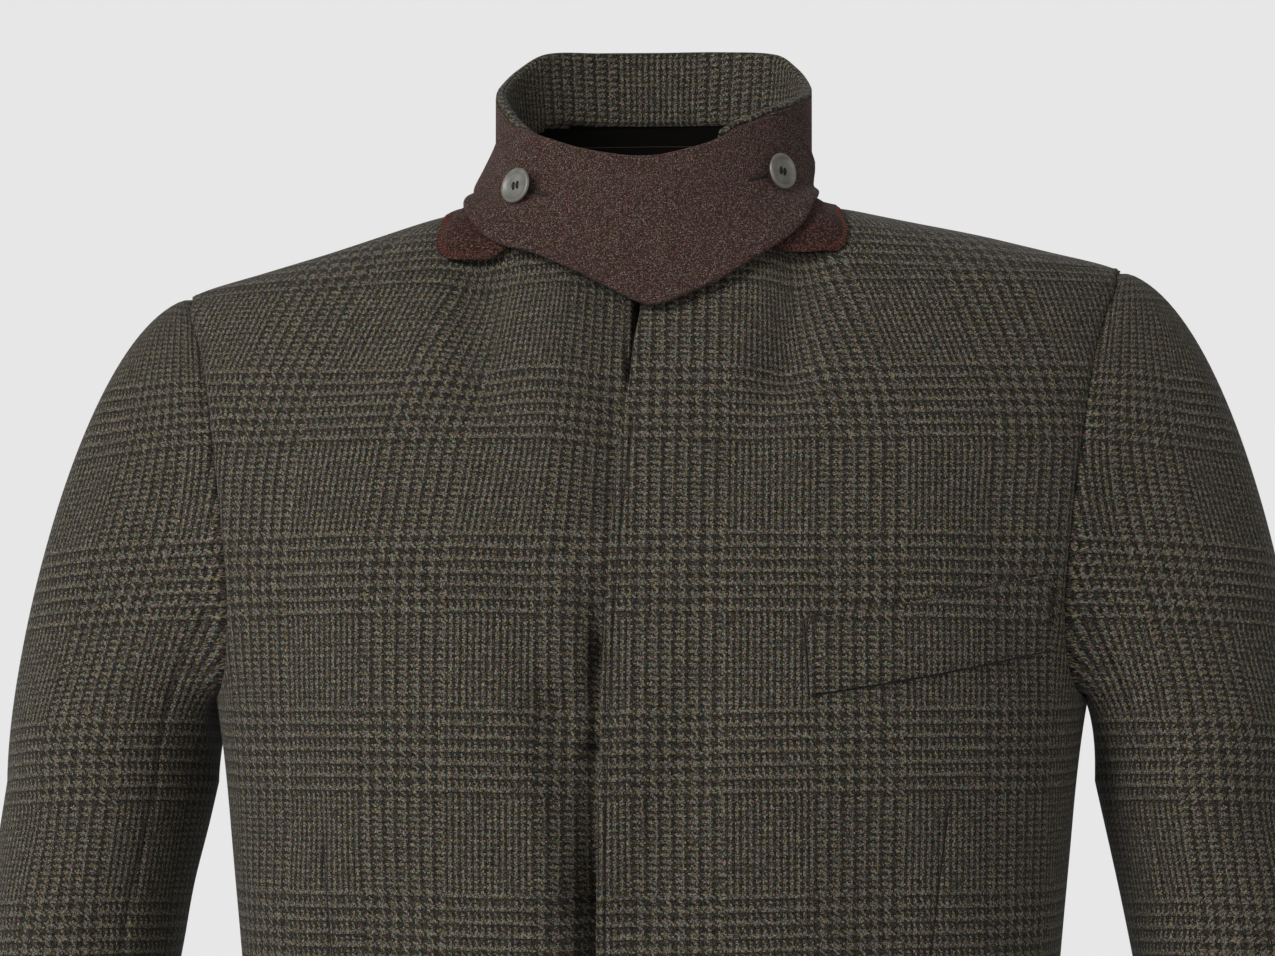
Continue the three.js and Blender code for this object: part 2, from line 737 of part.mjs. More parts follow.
function chestWelt() {
  const places = Array.from({ length: WELT_ROWS + 1 }, (_, i) =>
    Array.from({ length: WELT_COLUMNS + 1 }, (_, j) => {
      const x = mix(WELT.x0, WELT.x1, j / WELT_COLUMNS) + (WELT.slant * i) / WELT_ROWS;
      const z = WELT.z + (x - WELT.x0) * WELT.rise + (WELT.height * i) / WELT_ROWS;
      return [angleAt(x, z), z];
    }),
  );
  const pointAt = (angle, z) => clothPoint(angle, z, false);
  return wallOnSurface(places, pointAt, { u: ANGLE_STEP, v: Z_STEP }, WELT.lift, WELT.wall);
}

// ---- buttons: turned discs with a raised rim and a short thread shank behind ----
const BUTTON_PROFILE = table("radius height", [
  [0, 0],
  [0.22, 0],
  [0.22, 0.2],
  [0.9, 0.22],
  [1, 0.32],
  [0.93, 0.42],
  [0.8, 0.42],
  [0.66, 0.33],
  [0, 0.32],
]);

function buttonGeometry(diameter) {
  const radius = diameter / 2;
  const outline = BUTTON_PROFILE.map((p) => new THREE.Vector2(p.radius * radius, p.height * radius));
  return new THREE.LatheGeometry(outline, 20).rotateX(Math.PI / 2);
}

// Stands a button off a surface point, facing along the surface's normal.
function seatButton(mesh, point, normal, lift) {
  mesh.position.copy(point).addScaledVector(normal, lift);
  mesh.quaternion.setFromUnitVectors(vec(0, 0, 1), normal);
}

// ---- the jacket ----
const cloth = (color) => () =>
  new THREE.MeshStandardMaterial({ color, roughness: 0.92, metalness: 0 });
const tweed = cloth(0x45433a);
const melton = cloth(0x443531);
const horn = () => new THREE.MeshStandardMaterial({ color: 0x74726b, roughness: 0.45, metalness: 0 });

const jacket = new THREE.Group();
function addPiece(name, geometry, material) {
  const mesh = new THREE.Mesh(geometry, material());
  mesh.name = name;
  jacket.add(mesh);
  return mesh;
}

for (const [name, side] of [["left", 1], ["right", -1]]) {
  addPiece("front_" + name, frontPanel(side), tweed);
  addPiece("back_" + name, backPanel(side), tweed);
  const sleeve = sleeveGrid(side);
  const under = HIND_SEAM_COLUMN + SLEEVE_COLUMNS;
  addPiece("top_sleeve_" + name, sleevePiece(sleeve, HIND_SEAM_COLUMN, FRONT_SEAM_COLUMN), tweed);
  addPiece("under_sleeve_" + name, sleevePiece(sleeve, FRONT_SEAM_COLUMN, under), tweed);
}
addPiece("undercollar", undercollar(), melton);
addPiece("top_collar", topCollar(), tweed);
addPiece("throat_tab", throatLatch(), melton);
addPiece("chest_welt", chestWelt(), tweed);

const LATCH_BUTTONS = table("name angle z tilt", [
  ["throat_button_right", -46.7, 7, -10], // each is drawn a little round to its own side
  ["throat_button_left", 50.2, 14.5, 10],
]);
const LATCH_BUTTON_LIFT = 0.9;
for (const { name, angle, z, tilt } of LATCH_BUTTONS) {
  const turn = angle * DEGREE;
  const normal = surfaceNormal(latchPoint, turn, z, 0.01, 0.5);
  normal.applyAxisAngle(vec(0, 0, 1), tilt * DEGREE);
  const button = addPiece(name, buttonGeometry(BUTTON_DIAMETER), horn);
  seatButton(button, latchPoint(turn, z), normal, LATCH + LATCH_BUTTON_LIFT);
}

const FRONT_BUTTON_Z = [-400, -495, -590];
const FRONT_BUTTON_LIFT = 0.6;
FRONT_BUTTON_Z.forEach((z, i) => {
  const pointAt = (angle, height) => clothPoint(angle, height, false);
  const normal = surfaceNormal(pointAt, 0, z, ANGLE_STEP * 4, Z_STEP * 4);
  const button = addPiece("front_button_" + (i + 1), buttonGeometry(FRONT_BUTTON_DIAMETER), horn);
  seatButton(button, pointAt(0, z), normal, FRONT_BUTTON_LIFT);
});

export default jacket;
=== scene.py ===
from math import cos, pi, radians, sin

import bpy
import numpy as np
from mathutils import Matrix, Vector


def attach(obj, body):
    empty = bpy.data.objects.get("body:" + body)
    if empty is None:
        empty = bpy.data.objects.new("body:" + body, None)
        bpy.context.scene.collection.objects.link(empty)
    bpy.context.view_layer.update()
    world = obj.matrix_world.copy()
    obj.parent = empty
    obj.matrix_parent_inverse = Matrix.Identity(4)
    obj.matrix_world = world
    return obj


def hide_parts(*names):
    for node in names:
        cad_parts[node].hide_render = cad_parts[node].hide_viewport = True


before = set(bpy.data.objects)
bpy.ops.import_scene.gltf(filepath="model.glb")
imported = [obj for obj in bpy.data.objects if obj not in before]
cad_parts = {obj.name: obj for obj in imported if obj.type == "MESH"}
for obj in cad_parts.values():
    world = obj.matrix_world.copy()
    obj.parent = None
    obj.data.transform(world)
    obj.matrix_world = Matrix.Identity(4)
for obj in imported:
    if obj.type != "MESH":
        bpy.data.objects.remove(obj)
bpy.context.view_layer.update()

scene = bpy.context.scene

# ======== Camera ========
# A long lens three metres off, a little towards the wearer's left and below the shoulders,
# tilted up so that the throat and the chest fill the picture.
PICTURE_WIDTH_PX = 1275
FOCAL_PX = 6085
CAMERA_DISTANCE = 3.0
CAMERA_TURN = radians(3.75)
CAMERA_HEIGHT = -0.30
CAMERA_AIM = Vector((-0.0076, -0.0005, -0.1306))

camera = bpy.data.objects.new("camera", bpy.data.cameras.new("camera"))
camera.data.sensor_width = 36
camera.data.lens = 36 * FOCAL_PX / PICTURE_WIDTH_PX
camera.location = (
    CAMERA_DISTANCE * sin(CAMERA_TURN),
    -CAMERA_DISTANCE * cos(CAMERA_TURN),
    CAMERA_HEIGHT,
)
camera.rotation_euler = (CAMERA_AIM - camera.location).to_track_quat("-Z", "Y").to_euler()
scene.collection.objects.link(camera)
scene.camera = camera
scene.view_settings.view_transform = "Standard"

# ======== Studio ========
# A pale floor of painted board well below the hem, an even pale surround, a large soft key
# at the upper left and a weaker fill at the right.
FLOOR_Z = -1050  # millimetres, like every length of the jacket
FLOOR_SIZE = 30000
SURROUND = "#e7e7e7"
LIGHT_AIM = Vector((0, 0, -0.2))
LIGHTS = (  # name, place and size in metres, watts
    ("key", (-1.7, -2.2, 1.2), 1.3, 78),
    ("fill", (2.4, -2.0, 0.2), 1.6, 7),
    ("top", (0.3, 1.4, 1.9), 1.8, 7),
)


def linear(colour):
    """An sRGB hex colour as linear red, green, blue and alpha."""
    parts = [int(colour[i : i + 2], 16) / 255 for i in (1, 3, 5)]
    return [p / 12.92 if p <= 0.04045 else ((p + 0.055) / 1.055) ** 2.4 for p in parts] + [1.0]


def add(tree, kind, inputs=None, stops=(), **settings):
    """Adds a node with its settings. Inputs go by name or number: a value, a socket or a node.
    The stops of a colour ramp are (place, sRGB hex)."""
    made = tree.nodes.new("ShaderNode" + kind)
    for name, value in settings.items():
        setattr(made, name, value)
    for key, value in (inputs or {}).items():
        if isinstance(value, bpy.types.Node):
            value = value.outputs[0]
        if isinstance(value, bpy.types.NodeSocket):
            tree.links.new(value, made.inputs[key])
        else:
            made.inputs[key].default_value = value
    while stops and len(made.color_ramp.elements) < len(stops):
        made.color_ramp.elements.new(0.5)
    for element, (at, colour) in zip(made.color_ramp.elements if stops else (), stops):
        element.position = at
        element.color = linear(colour)
    return made


def new_material(name):
    """An empty node material and its tree."""
    made = bpy.data.materials.new(name)
    made.use_nodes = True
    made.node_tree.nodes.clear()
    return made, made.node_tree


def finish_material(tree, surface):
    """Ends a tree with one opaque surface of these inputs."""
    shader = add(tree, "BsdfPrincipled", surface)
    add(tree, "OutputMaterial", {"Surface": shader})


def mesh_object(name, points, faces, material=None):
    """A mesh object from points in millimetres."""
    mesh = bpy.data.meshes.new(name)
    mesh.from_pydata((np.asarray(points) / 1000).tolist(), [], faces)
    if material:
        mesh.materials.append(material)
    made = bpy.data.objects.new(name, mesh)
    scene.collection.objects.link(made)
    return made


world = bpy.data.worlds.new("studio")
world.use_nodes = True
scene.world = world
tree = world.node_tree
rise = add(tree, "SeparateXYZ", {0: add(tree, "TexCoord").outputs["Generated"]})
rise = add(tree, "Math", {0: rise.outputs[2]}, operation="ABSOLUTE")
dim = {"Value": rise, "From Min": 0.17, "From Max": 0.55, "To Min": 1.0, "To Max": 0.2}
dim = add(tree, "MapRange", dim)
tree.nodes["Background"].inputs["Color"].default_value = linear(SURROUND)
tree.links.new(dim.outputs[0], tree.nodes["Background"].inputs["Strength"])

floor_paint, tree = new_material("matt_floor_paint")
grain = add(tree, "TexNoise", {"Scale": 60.0, "Detail": 3.0})
rough = add(tree, "MapRange", {"Value": grain, "To Min": 0.75, "To Max": 0.9})
finish_material(tree, {"Base Color": linear("#efefef"), "Roughness": rough})
half = FLOOR_SIZE / 2
corners = [(x * half, y * half, FLOOR_Z) for x, y in ((-1, -1), (1, -1), (1, 1), (-1, 1))]
mesh_object("floor", corners, [(0, 1, 2, 3)], floor_paint)

for name, place, size, watts in LIGHTS:
    light = bpy.data.objects.new(name, bpy.data.lights.new(name, "AREA"))
    light.data.size = size
    light.data.energy = watts
    light.location = place
    light.rotation_euler = (LIGHT_AIM - light.location).to_track_quat("-Z", "Y").to_euler()
    scene.collection.objects.link(light)

# ======== Tweed ========
# Woollen-spun tweed in a 2/2 twill. Warp and weft both run in broad stripes, four dark and four
# light, and in fine ones, two and two, which gives the glen check. Matt, hairy and flecked.
WARP_MM = 0.80  # thread spacing
WEFT_MM = 0.78
BROAD_THREADS = 56
WARP_REPEAT = 108
WEFT_REPEAT = 112
THREAD_RELIEF = 0.00012  # metres
STRAY_THICKNESS = 0.26  # drawn coarser than real fibres, which are far under a tenth
STRAY_FIBRES = ((0.9, 0.8, 0.4), (1.3, -0.9, 1.7), (1.1, 0.3, 2.9))  # cell, bend, turn


def strands(tree, uv, layers, thickness, rarity):
    """Short bent fibres lying every way, one in each cell of each layer, as 0 to 1. A layer is
    its cell's size in millimetres, its bend and its turn."""
    so_far = None
    for cell, bend, turn in layers:
        scatter = {"Vector": uv, "Rotation": (0, 0, turn), "Scale": (1 / cell, 1 / cell, 1)}
        scattered = add(tree, "Mapping", scatter)
        cells = {"Vector": scattered, "Scale": 1.0}
        cells = add(tree, "TexVoronoi", cells, voronoi_dimensions="2D")
        chance = add(tree, "SeparateColor", {0: cells.outputs["Color"]})
        offset = {0: scattered, 1: cells.outputs["Position"]}
        offset = add(tree, "VectorMath", offset, operation="SUBTRACT")
        lie = add(tree, "Math", {0: chance.outputs[0], 1: 2 * pi}, operation="MULTIPLY")
        laid = {"Vector": offset, "Angle": lie}
        laid = add(tree, "VectorRotate", laid, rotation_type="Z_AXIS")
        along, aside, _ = add(tree, "SeparateXYZ", {0: laid}).outputs
        bow = add(tree, "Math", {0: along, 1: along}, operation="MULTIPLY")
        bow = add(tree, "Math", {0: bow, 1: bend, 2: aside}, operation="MULTIPLY_ADD")
        bow = add(tree, "Math", {0: bow}, operation="ABSOLUTE")
        strand = {"Value": bow, "From Max": thickness / cell, "To Min": 1.0, "To Max": 0.0}
        strand = add(tree, "MapRange", strand)
        end = add(tree, "Math", {0: along}, operation="ABSOLUTE")
        end = {"Value": end, "From Min": 0.3, "From Max": 0.5, "To Min": 1.0, "To Max": 0.0}
        end = add(tree, "MapRange", end)
        strand = add(tree, "Math", {0: strand, 1: end}, operation="MULTIPLY")
        rare = add(tree, "Math", {0: chance.outputs[1], 1: rarity}, operation="POWER")
        strand = add(tree, "Math", {0: strand, 1: rare}, operation="MULTIPLY")
        if so_far:
            strand = add(tree, "Math", {0: so_far, 1: strand}, operation="MAXIMUM")
        so_far = strand
    return so_far


tweed, tree = new_material("woollen_tweed_glen_check")
uv = add(tree, "UVMap", uv_map="cloth")
wander = add(tree, "TexNoise", {"Vector": uv, "Scale": 0.9, "Detail": 2.0}, noise_dimensions="2D")
wander = {0: wander.outputs["Color"], 1: (0.5, 0.5, 0.5)}
wander = add(tree, "VectorMath", wander, operation="SUBTRACT")
wander = add(tree, "VectorMath", {0: wander, "Scale": 0.75}, operation="SCALE")
place = add(tree, "VectorMath", {0: uv, 1: wander}, operation="ADD")
place = add(tree, "SeparateXYZ", {0: place})
numbers, rounds, darks = [], [], []
for axis, spacing, repeat in ((0, WARP_MM, WARP_REPEAT), (1, WEFT_MM, WEFT_REPEAT)):
    at = add(tree, "Math", {0: place.outputs[axis], 1: spacing}, operation="DIVIDE")
    number = add(tree, "Math", {0: at}, operation="FLOOR")
    across = add(tree, "Math", {0: at}, operation="FRACT")
    centred = add(tree, "Math", {0: across, 1: 2.0, 2: -1.0}, operation="MULTIPLY_ADD")
    squared = add(tree, "Math", {0: centred, 1: centred}, operation="MULTIPLY")
    rounds.append(add(tree, "Math", {0: 1.0, 1: squared}, operation="SUBTRACT"))
    thread = add(tree, "Math", {0: number, 1: float(repeat)}, operation="FLOORED_MODULO")
    broad = add(tree, "Math", {0: thread, 1: float(BROAD_THREADS)}, operation="LESS_THAN")
    pair = add(tree, "Math", {0: broad, 1: 4.0, 2: 4.0}, operation="MULTIPLY_ADD")
    within = add(tree, "Math", {0: thread, 1: pair}, operation="MODULO")
    stripe = add(tree, "Math", {0: pair, 1: 0.5}, operation="MULTIPLY")
    darks.append(add(tree, "Math", {0: within, 1: stripe}, operation="LESS_THAN"))
    numbers.append(number)
warp_up = add(tree, "Math", {0: numbers[0], 1: numbers[1]}, operation="ADD")
for value, operation in ((1.0, "ADD"), (4.0, "FLOORED_MODULO"), (2.0, "LESS_THAN")):
    warp_up = add(tree, "Math", {0: warp_up, 1: value}, operation=operation)
dark = add(tree, "Mix", {0: warp_up, 2: darks[1], 3: darks[0]})
round_top = add(tree, "Mix", {0: warp_up, 2: rounds[1], 3: rounds[0]})

# fibres run along each thread, so the flecks are long that way
fibres = []
for x, y, stretch in (
    (numbers[0], place.outputs[1], (7.3, 0.8, 1.0)),
    (place.outputs[0], numbers[1], (0.8, 9.1, 1.0)),
):
    along = add(tree, "CombineXYZ", {0: x, 1: y})
    along = add(tree, "VectorMath", {0: along, 1: stretch}, operation="MULTIPLY")
    along = {"Vector": along, "Scale": 1.0, "Detail": 3.0}
    fibre = add(tree, "TexNoise", along, noise_dimensions="2D")
    fibres.append(fibre.outputs[0])
fibre = add(tree, "Mix", {0: warp_up, 2: fibres[1], 3: fibres[0]})
fuzz = {"Vector": uv, "Scale": 1.3, "Detail": 4.0, "Roughness": 0.75}
fuzz = add(tree, "TexNoise", fuzz, noise_dimensions="2D")
fleck = add(tree, "Math", {0: fibre, 1: fuzz}, operation="ADD")
fleck = add(tree, "MapRange", {"Value": fleck, "From Min": 0.72, "From Max": 1.28})
stray = strands(tree, uv, STRAY_FIBRES, STRAY_THICKNESS, 1.5)
speck = {"Vector": uv, "Scale": 2.1, "Detail": 2.0, "Roughness": 0.8}
speck = add(tree, "TexNoise", speck, noise_dimensions="2D")
speck = add(tree, "MapRange", {"Value": speck, "From Min": 0.42, "From Max": 0.75})
for part, share in ((stray, 0.65), (speck, 0.6)):
    fleck = add(tree, "Math", {0: part, 1: share, 2: fleck}, operation="MULTIPLY_ADD")
fleck = add(tree, "Math", {0: fleck, 1: 0.2}, operation="SUBTRACT")
dark_stops = ((0.0, "#060504"), (0.45, "#110f0b"), (1.0, "#403c34"))
light_stops = ((0.0, "#14120e"), (0.45, "#36322a"), (1.0, "#7c766a"))
dark_wool, light_wool = [
    add(tree, "ValToRGB", {0: fleck}, stops) for stops in (dark_stops, light_stops)
]
wool = add(tree, "Mix", {0: dark, 6: light_wool, 7: dark_wool}, data_type="RGBA")
dye = {"Vector": uv, "Scale": 0.22, "Detail": 4.0, "Roughness": 0.7}
dye = add(tree, "TexNoise", dye, noise_dimensions="2D")
dye_stops = (
    (0.28, "#c9d3e0"), (0.42, "#f4f4f4"), (0.55, "#fffdf2"), (0.66, "#efe6bd"), (0.8, "#e3bfa8"),
)
dye = add(tree, "ValToRGB", {0: dye}, dye_stops)
nep = {"Vector": uv, "Scale": 0.75, "Detail": 2.0}
nep = add(tree, "TexNoise", nep, noise_dimensions="2D")
nep = {0: nep.outputs["Color"], 1: (1.6, 1.6, 1.6), 2: (0.2, 0.2, 0.2)}
nep = add(tree, "VectorMath", nep, operation="MULTIPLY_ADD")

for amount, tint in ((0.8, dye), (1.0, nep)):
    wool = {0: amount, 6: wool.outputs[2], 7: tint}
    wool = add(tree, "Mix", wool, data_type="RGBA", blend_type="MULTIPLY")
relief = add(tree, "Math", {0: round_top, 1: fuzz}, operation="ADD")
bump = add(tree, "Bump", {"Height": relief, "Strength": 0.7, "Distance": THREAD_RELIEF})
finish_material(
    tree,
    {
        "Base Color": wool.outputs[2],
        "Roughness": 0.92,
        "Specular IOR Level": 0.2,
        "Sheen Weight": 0.06,
        "Sheen Roughness": 0.45,
        "Normal": bump,
    },
)

# ======== Fronts and backs ========
# Four panels of tweed, joined at the sides, shoulders and centre back, with the left front
# lapped over the right. Each is one shell of cloth on the worn form, with its folds as troughs.
TWEED = 2.0
LAP_GAP = 1.4
HEM_Z = -775
UNDERARM_Z = -240
SHOULDER_TIP_Z = -34
NECK_SEAM_Z = 6
THROAT_Z = -15
SHOULDER_LEAN = 4.5
DEGREE = pi / 180
ANGLE_STEP = 0.4 * DEGREE  # steps over which a surface's slope is taken
Z_STEP = 0.6
CHEST_Z = -205.3  # where a broad band of the weft begins
SEAM_DIP = 1.3
SEAM_DIP_WIDTH = 2.2


def table(columns, rows):
    """Rows under named columns, as one array for each column."""
    return dict(zip(columns.split(), np.array(rows, float).T))


def read(rows, key, column, at):
    """Smooth reading of one column at a place along the key column, whose values rise."""
    keys, values = rows[key], rows[column]
    last = len(keys) - 1
    at = np.clip(at, keys[0], keys[last])
    i = np.clip(np.searchsorted(keys, at) - 1, 0, last - 1)
    before = np.maximum(np.arange(last + 1) - 1, 0)
    after = np.minimum(np.arange(last + 1) + 1, last)
    slope = (values[after] - values[before]) / (keys[after] - keys[before])
    span = keys[i + 1] - keys[i]
    s = (at - keys[i]) / span
    return (
        (2 * s**3 - 3 * s**2 + 1) * values[i]
        + (s**3 - 2 * s**2 + s) * span * slope[i]
        + (3 * s**2 - 2 * s**3) * values[i + 1]
        + (s**3 - s**2) * span * slope[i + 1]
    )


def mix(a, b, t):
    return a + (b - a) * t


def ease(value, start, end):
    t = np.clip((value - start) / (end - start), 0, 1)
    return t * t * (3 - 2 * t)


BODY_RINGS = table("z half_width half_depth centre_y power", [
    (-800, 217, 136, -3, 2.3), (-680, 208, 129, -5, 2.35), (-560, 201, 121.5, -9.5, 2.4),
    (-430, 196, 117.5, -13.5, 2.45), (-300, 206, 128, -11, 2.5), (-250, 212, 130, -8, 2.5),
    (-200, 222, 127, -4, 2.45), (-150, 234, 119.5, 0.5, 2.35), (-100, 243, 106, 6, 2.25),
    (-50, 245, 88, 11, 2.1), (-40, 240, 83.5, 12, 2.08), (-32, 226, 79.8, 12.3, 2.05),
    (-24, 197, 76, 12, 2.02), (-16, 167, 72.8, 11.3, 2), (-8, 136, 69.5, 10.5, 2),
    (0, 104, 65.8, 9.3, 2.05), (6, 77, 61.5, 8, 2.15), (20, 40, 36, 8, 2.2),
])


def ring_at(z):
    columns = ("half_width", "half_depth", "centre_y", "power")
    return [read(BODY_RINGS, "z", name, z) for name in columns]


def form_point(angle, z):
    """The worn form. Angle 0 is the centre front, 90 degrees the wearer's left, 180 the back."""
    half_width, half_depth, centre_y, power = ring_at(z)
    s, c = np.sin(angle), np.cos(angle)
    x = half_width * np.sign(s) * np.abs(s) ** (2 / power)
    y = centre_y - half_depth * np.sign(c) * np.abs(c) ** (2 / power)
    outward = ease(np.abs(x), 80, 170) * ease(z, -220, -60)
    return np.stack([x, y, z + SHOULDER_LEAN * outward * x / 200], -1)


def angle_at(x, z):
    half_width, _, _, power = ring_at(z)
    return np.sign(x) * np.arcsin(np.clip(np.abs(x) / half_width, 0, 1) ** (power / 2))


FRONT_FOLDS = table("x0 z0 x1 z1 width depth", [
    (77, -12, 70, -80, 13, 7),  # beneath the left wing of the collar
    (68, -84, 52, -124, 16, 3),
    (-82, -14, -77, -92, 15, 6),  # beneath the right wing
    (-50, -32, -84, -46, 12, 3), (-127, -78, -186, -106, 20, 3),
    (30, -245, 6, -345, 17, 4.5),  # soft fall beside the left front's edge
    (172, -150, 182, -215, 20, 3.5), (-178, -160, -168, -300, 24, 3),
    (118, -330, 128, -520, 26, 3.5), (-120, -350, -132, -560, 26, 4),
    (40, -420, 150, -460, 18, 2.5), (-150, -400, -40, -440, 18, 2.5),
])
UNDERLAP_FOLDS = table("x0 z0 x1 z1 width depth", [
    (-53, -182, -38, -246, 15, 4), (-38, -250, -21, -335, 15, 9), (-19, -345, -19, -470, 15, 8),
    (-14, -52, -10, -150, 12, 5), (-17, -190, -13, -262, 12, 6),
    (-1.6, -44, -3.8, -82, 2.4, 15),  # the gap under the throat latch
    (-10.4, -46, -5.6, -91, 0.9, 3.4),
    (-16, -200, -16.5, -222, 4, 3),  # sharp fold close beside the lapped edge
    (-16.5, -216, -18, -262, 5.5, 7), (-18.5, -268, -20, -480, 6, 9),
])
BACK_FOLDS = table("x0 z0 x1 z1 width depth", [
    (168, -120, 150, -330, 24, 6), (-165, -110, -152, -350, 24, 5), (112, -150, 120, -290, 22, 3),
    (-118, -170, -112, -270, 20, 3), (-95, -405, 60, -425, 16, 3.5),
    (-30, -455, 110, -440, 15, 3), (-55, -34, 62, -36, 12, 2.5), (95, -560, 112, -770, 26, 5),
    (-80, -600, -100, -770, 26, 4),
])


def trough_depth(folds, x, z):
    """How deep the folds press the cloth in at a place."""
    depth = 0 * x
    for x0, z0, x1, z1, width, deep in zip(*folds.values()):
        dx, dz = x1 - x0, z1 - z0
        along = np.clip(((x - x0) * dx + (z - z0) * dz) / (dx * dx + dz * dz), 0, 1)
        away = np.hypot(x - x0 - along * dx, z - z0 - along * dz) / width
        depth = depth + deep * np.exp(-away * away)
    return depth


def underlap_depth(x, z):
    """The right front dips under the left one and falls away beside its edge."""
    return (TWEED + LAP_GAP) * ease(x, -46, -24) + trough_depth(UNDERLAP_FOLDS, x, z)


def unit(vectors):
    return vectors / np.maximum(np.linalg.norm(vectors, axis=-1, keepdims=True), 1e-9)


def surface_normal(point_at, u, v, du=ANGLE_STEP, dv=Z_STEP):
    across = point_at(u + du, v) - point_at(u - du, v)
    up = point_at(u, v + dv) - point_at(u, v - dv)
    return unit(np.cross(across, up))


def cloth_point(angle, z, underlap=False):
    """The outside of the cloth: the form pressed in where a fold lies."""
    p = form_point(angle, z)
    x, _, height = np.moveaxis(p, -1, 0)
    front = np.cos(angle)
    depth = [trough_depth(folds, x, height) for folds in (FRONT_FOLDS, BACK_FOLDS)]
    depth = np.where(front > 0, *depth) * ease(np.abs(front), 0, 0.35)
    if underlap:
        depth = depth + underlap_depth(x, height) * ease(front, 0.3, 0.7)
    return p - surface_normal(form_point, angle, z) * depth[..., None]


def steps(grid, axis):
    """Distances between neighbours along an axis."""
    return np.linalg.norm(np.diff(grid, axis=axis), axis=-1)


def running(lengths, axis=0):
    """The running total of lengths along an axis, from zero."""
    return np.insert(np.cumsum(lengths, axis), 0, 0, axis)


def grid_normals(points, outside):
    """Unit normals of a grid of points, turned to the side where outside is."""
    n = unit(np.cross(np.gradient(points, axis=1), np.gradient(points, axis=0)))
    return n if np.mean(np.sum(n * outside, -1)) > 0 else -n


def border(grid):
    """The points round the edge of a grid, once round."""
    return np.concatenate([grid[0], grid[1:, -1], grid[-1, -2::-1], grid[-2:0:-1, 0]])


def shell(name, outer, inner, uv, material, swell):
    """A closed shell of cloth between two grids, riding on the jacket's one body. Swell rounds
    its edges: first row, last column, last row, first column. The UVs are millimetres of cloth."""
    spread, spread_uv = np.zeros(outer.shape), np.zeros(uv.shape)
    edges = (
        ((0, slice(None)), (1, slice(None))),
        ((slice(None), -1), (slice(None), -2)),
        ((-1, slice(None)), (-2, slice(None))),
        ((slice(None), 0), (slice(None), 1)),
    )
    for (edge, inside), amount in zip(edges, swell):
        spread[edge] += amount * unit(outer[edge] - outer[inside])
        spread_uv[edge] += amount * unit(uv[edge] - uv[inside])
    points, uvs = [outer.reshape(-1, 3), inner.reshape(-1, 3)], [uv.reshape(-1, 2)] * 2
    ids = np.arange(uv[..., 0].size).reshape(uv.shape[:2])
    count, ring = ids.size, border(ids)
    chain = [ring]
    for t in (0.12, 0.35, 0.65, 0.88):
        bulge = (1 - (2 * t - 1) ** 2) ** 0.5
        chain.append(2 * count + (len(chain) - 1) * len(ring) + np.arange(len(ring)))
        points.append(border(mix(outer, inner, t)) + border(spread) * bulge)
        uvs.append(border(uv) + border(spread_uv) * (bulge + 2 * t))
    chain.append(ring + count)
    front = np.stack([ids[:-1, :-1], ids[:-1, 1:], ids[1:, 1:], ids[1:, :-1]], -1).reshape(-1, 4)
    quads = [front, front[:, ::-1] + count]
    for near, far in zip(chain, chain[1:]):
        quads.append(np.stack([np.roll(near, -1), near, far, np.roll(far, -1)], -1))
    quads = np.concatenate(quads)
    facing = np.cross(outer[0, 1] - outer[0, 0], outer[1, 0] - outer[0, 0])
    if np.dot(facing, outer[0, 0] - inner[0, 0]) < 0:
        quads = quads[:, ::-1]
    made = mesh_object(name, np.concatenate(points), quads.tolist(), material)
    layer = made.data.uv_layers.new(name="cloth")
    corner_uvs = np.concatenate(uvs)[quads.ravel()]
    layer.data.foreach_set("uv", corner_uvs.astype(np.float32).ravel())
    made.data.shade_smooth()
    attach(made, "root")
    return made


ARMHOLE_FRONT = 40 * DEGREE
ARMHOLE_BACK = 34 * DEGREE
SHOULDER_ANGLE = 96 * DEGREE
UNDERARM_ANGLE = 92 * DEGREE
SIDE_SEAM_ANGLE = 100 * DEGREE
SIDE_SEAM_SETTLED = 420  # how far down the side seam has reached its angle


def armhole_z(turn):
    return mix(SHOULDER_TIP_Z, UNDERARM_Z, (1 - np.cos(turn)) / 2)


def armhole_reach(z):
    down = (z - SHOULDER_TIP_Z) / (UNDERARM_Z - SHOULDER_TIP_Z)
    turn = np.arccos(np.clip(1 - 2 * down, -1, 1))
    return np.maximum(np.sin(turn), 0) ** 0.45 * (1 - 0.3 * turn / pi)


def side_angle(z):
    down = (SHOULDER_TIP_Z - z) / (SHOULDER_TIP_Z - UNDERARM_Z)
    above = mix(SHOULDER_ANGLE, UNDERARM_ANGLE, np.clip(down, 0, 1))
    below = mix(UNDERARM_ANGLE, SIDE_SEAM_ANGLE, ease(-z, -UNDERARM_Z, SIDE_SEAM_SETTLED))
    return np.where(z >= UNDERARM_Z, above, below)


def armhole_angle(front, z):
    open_here = (z < SHOULDER_TIP_Z) & (z > UNDERARM_Z)
    reach = np.where(open_here, armhole_reach(z), 0)
    return side_angle(z) + (-ARMHOLE_FRONT if front else ARMHOLE_BACK) * reach


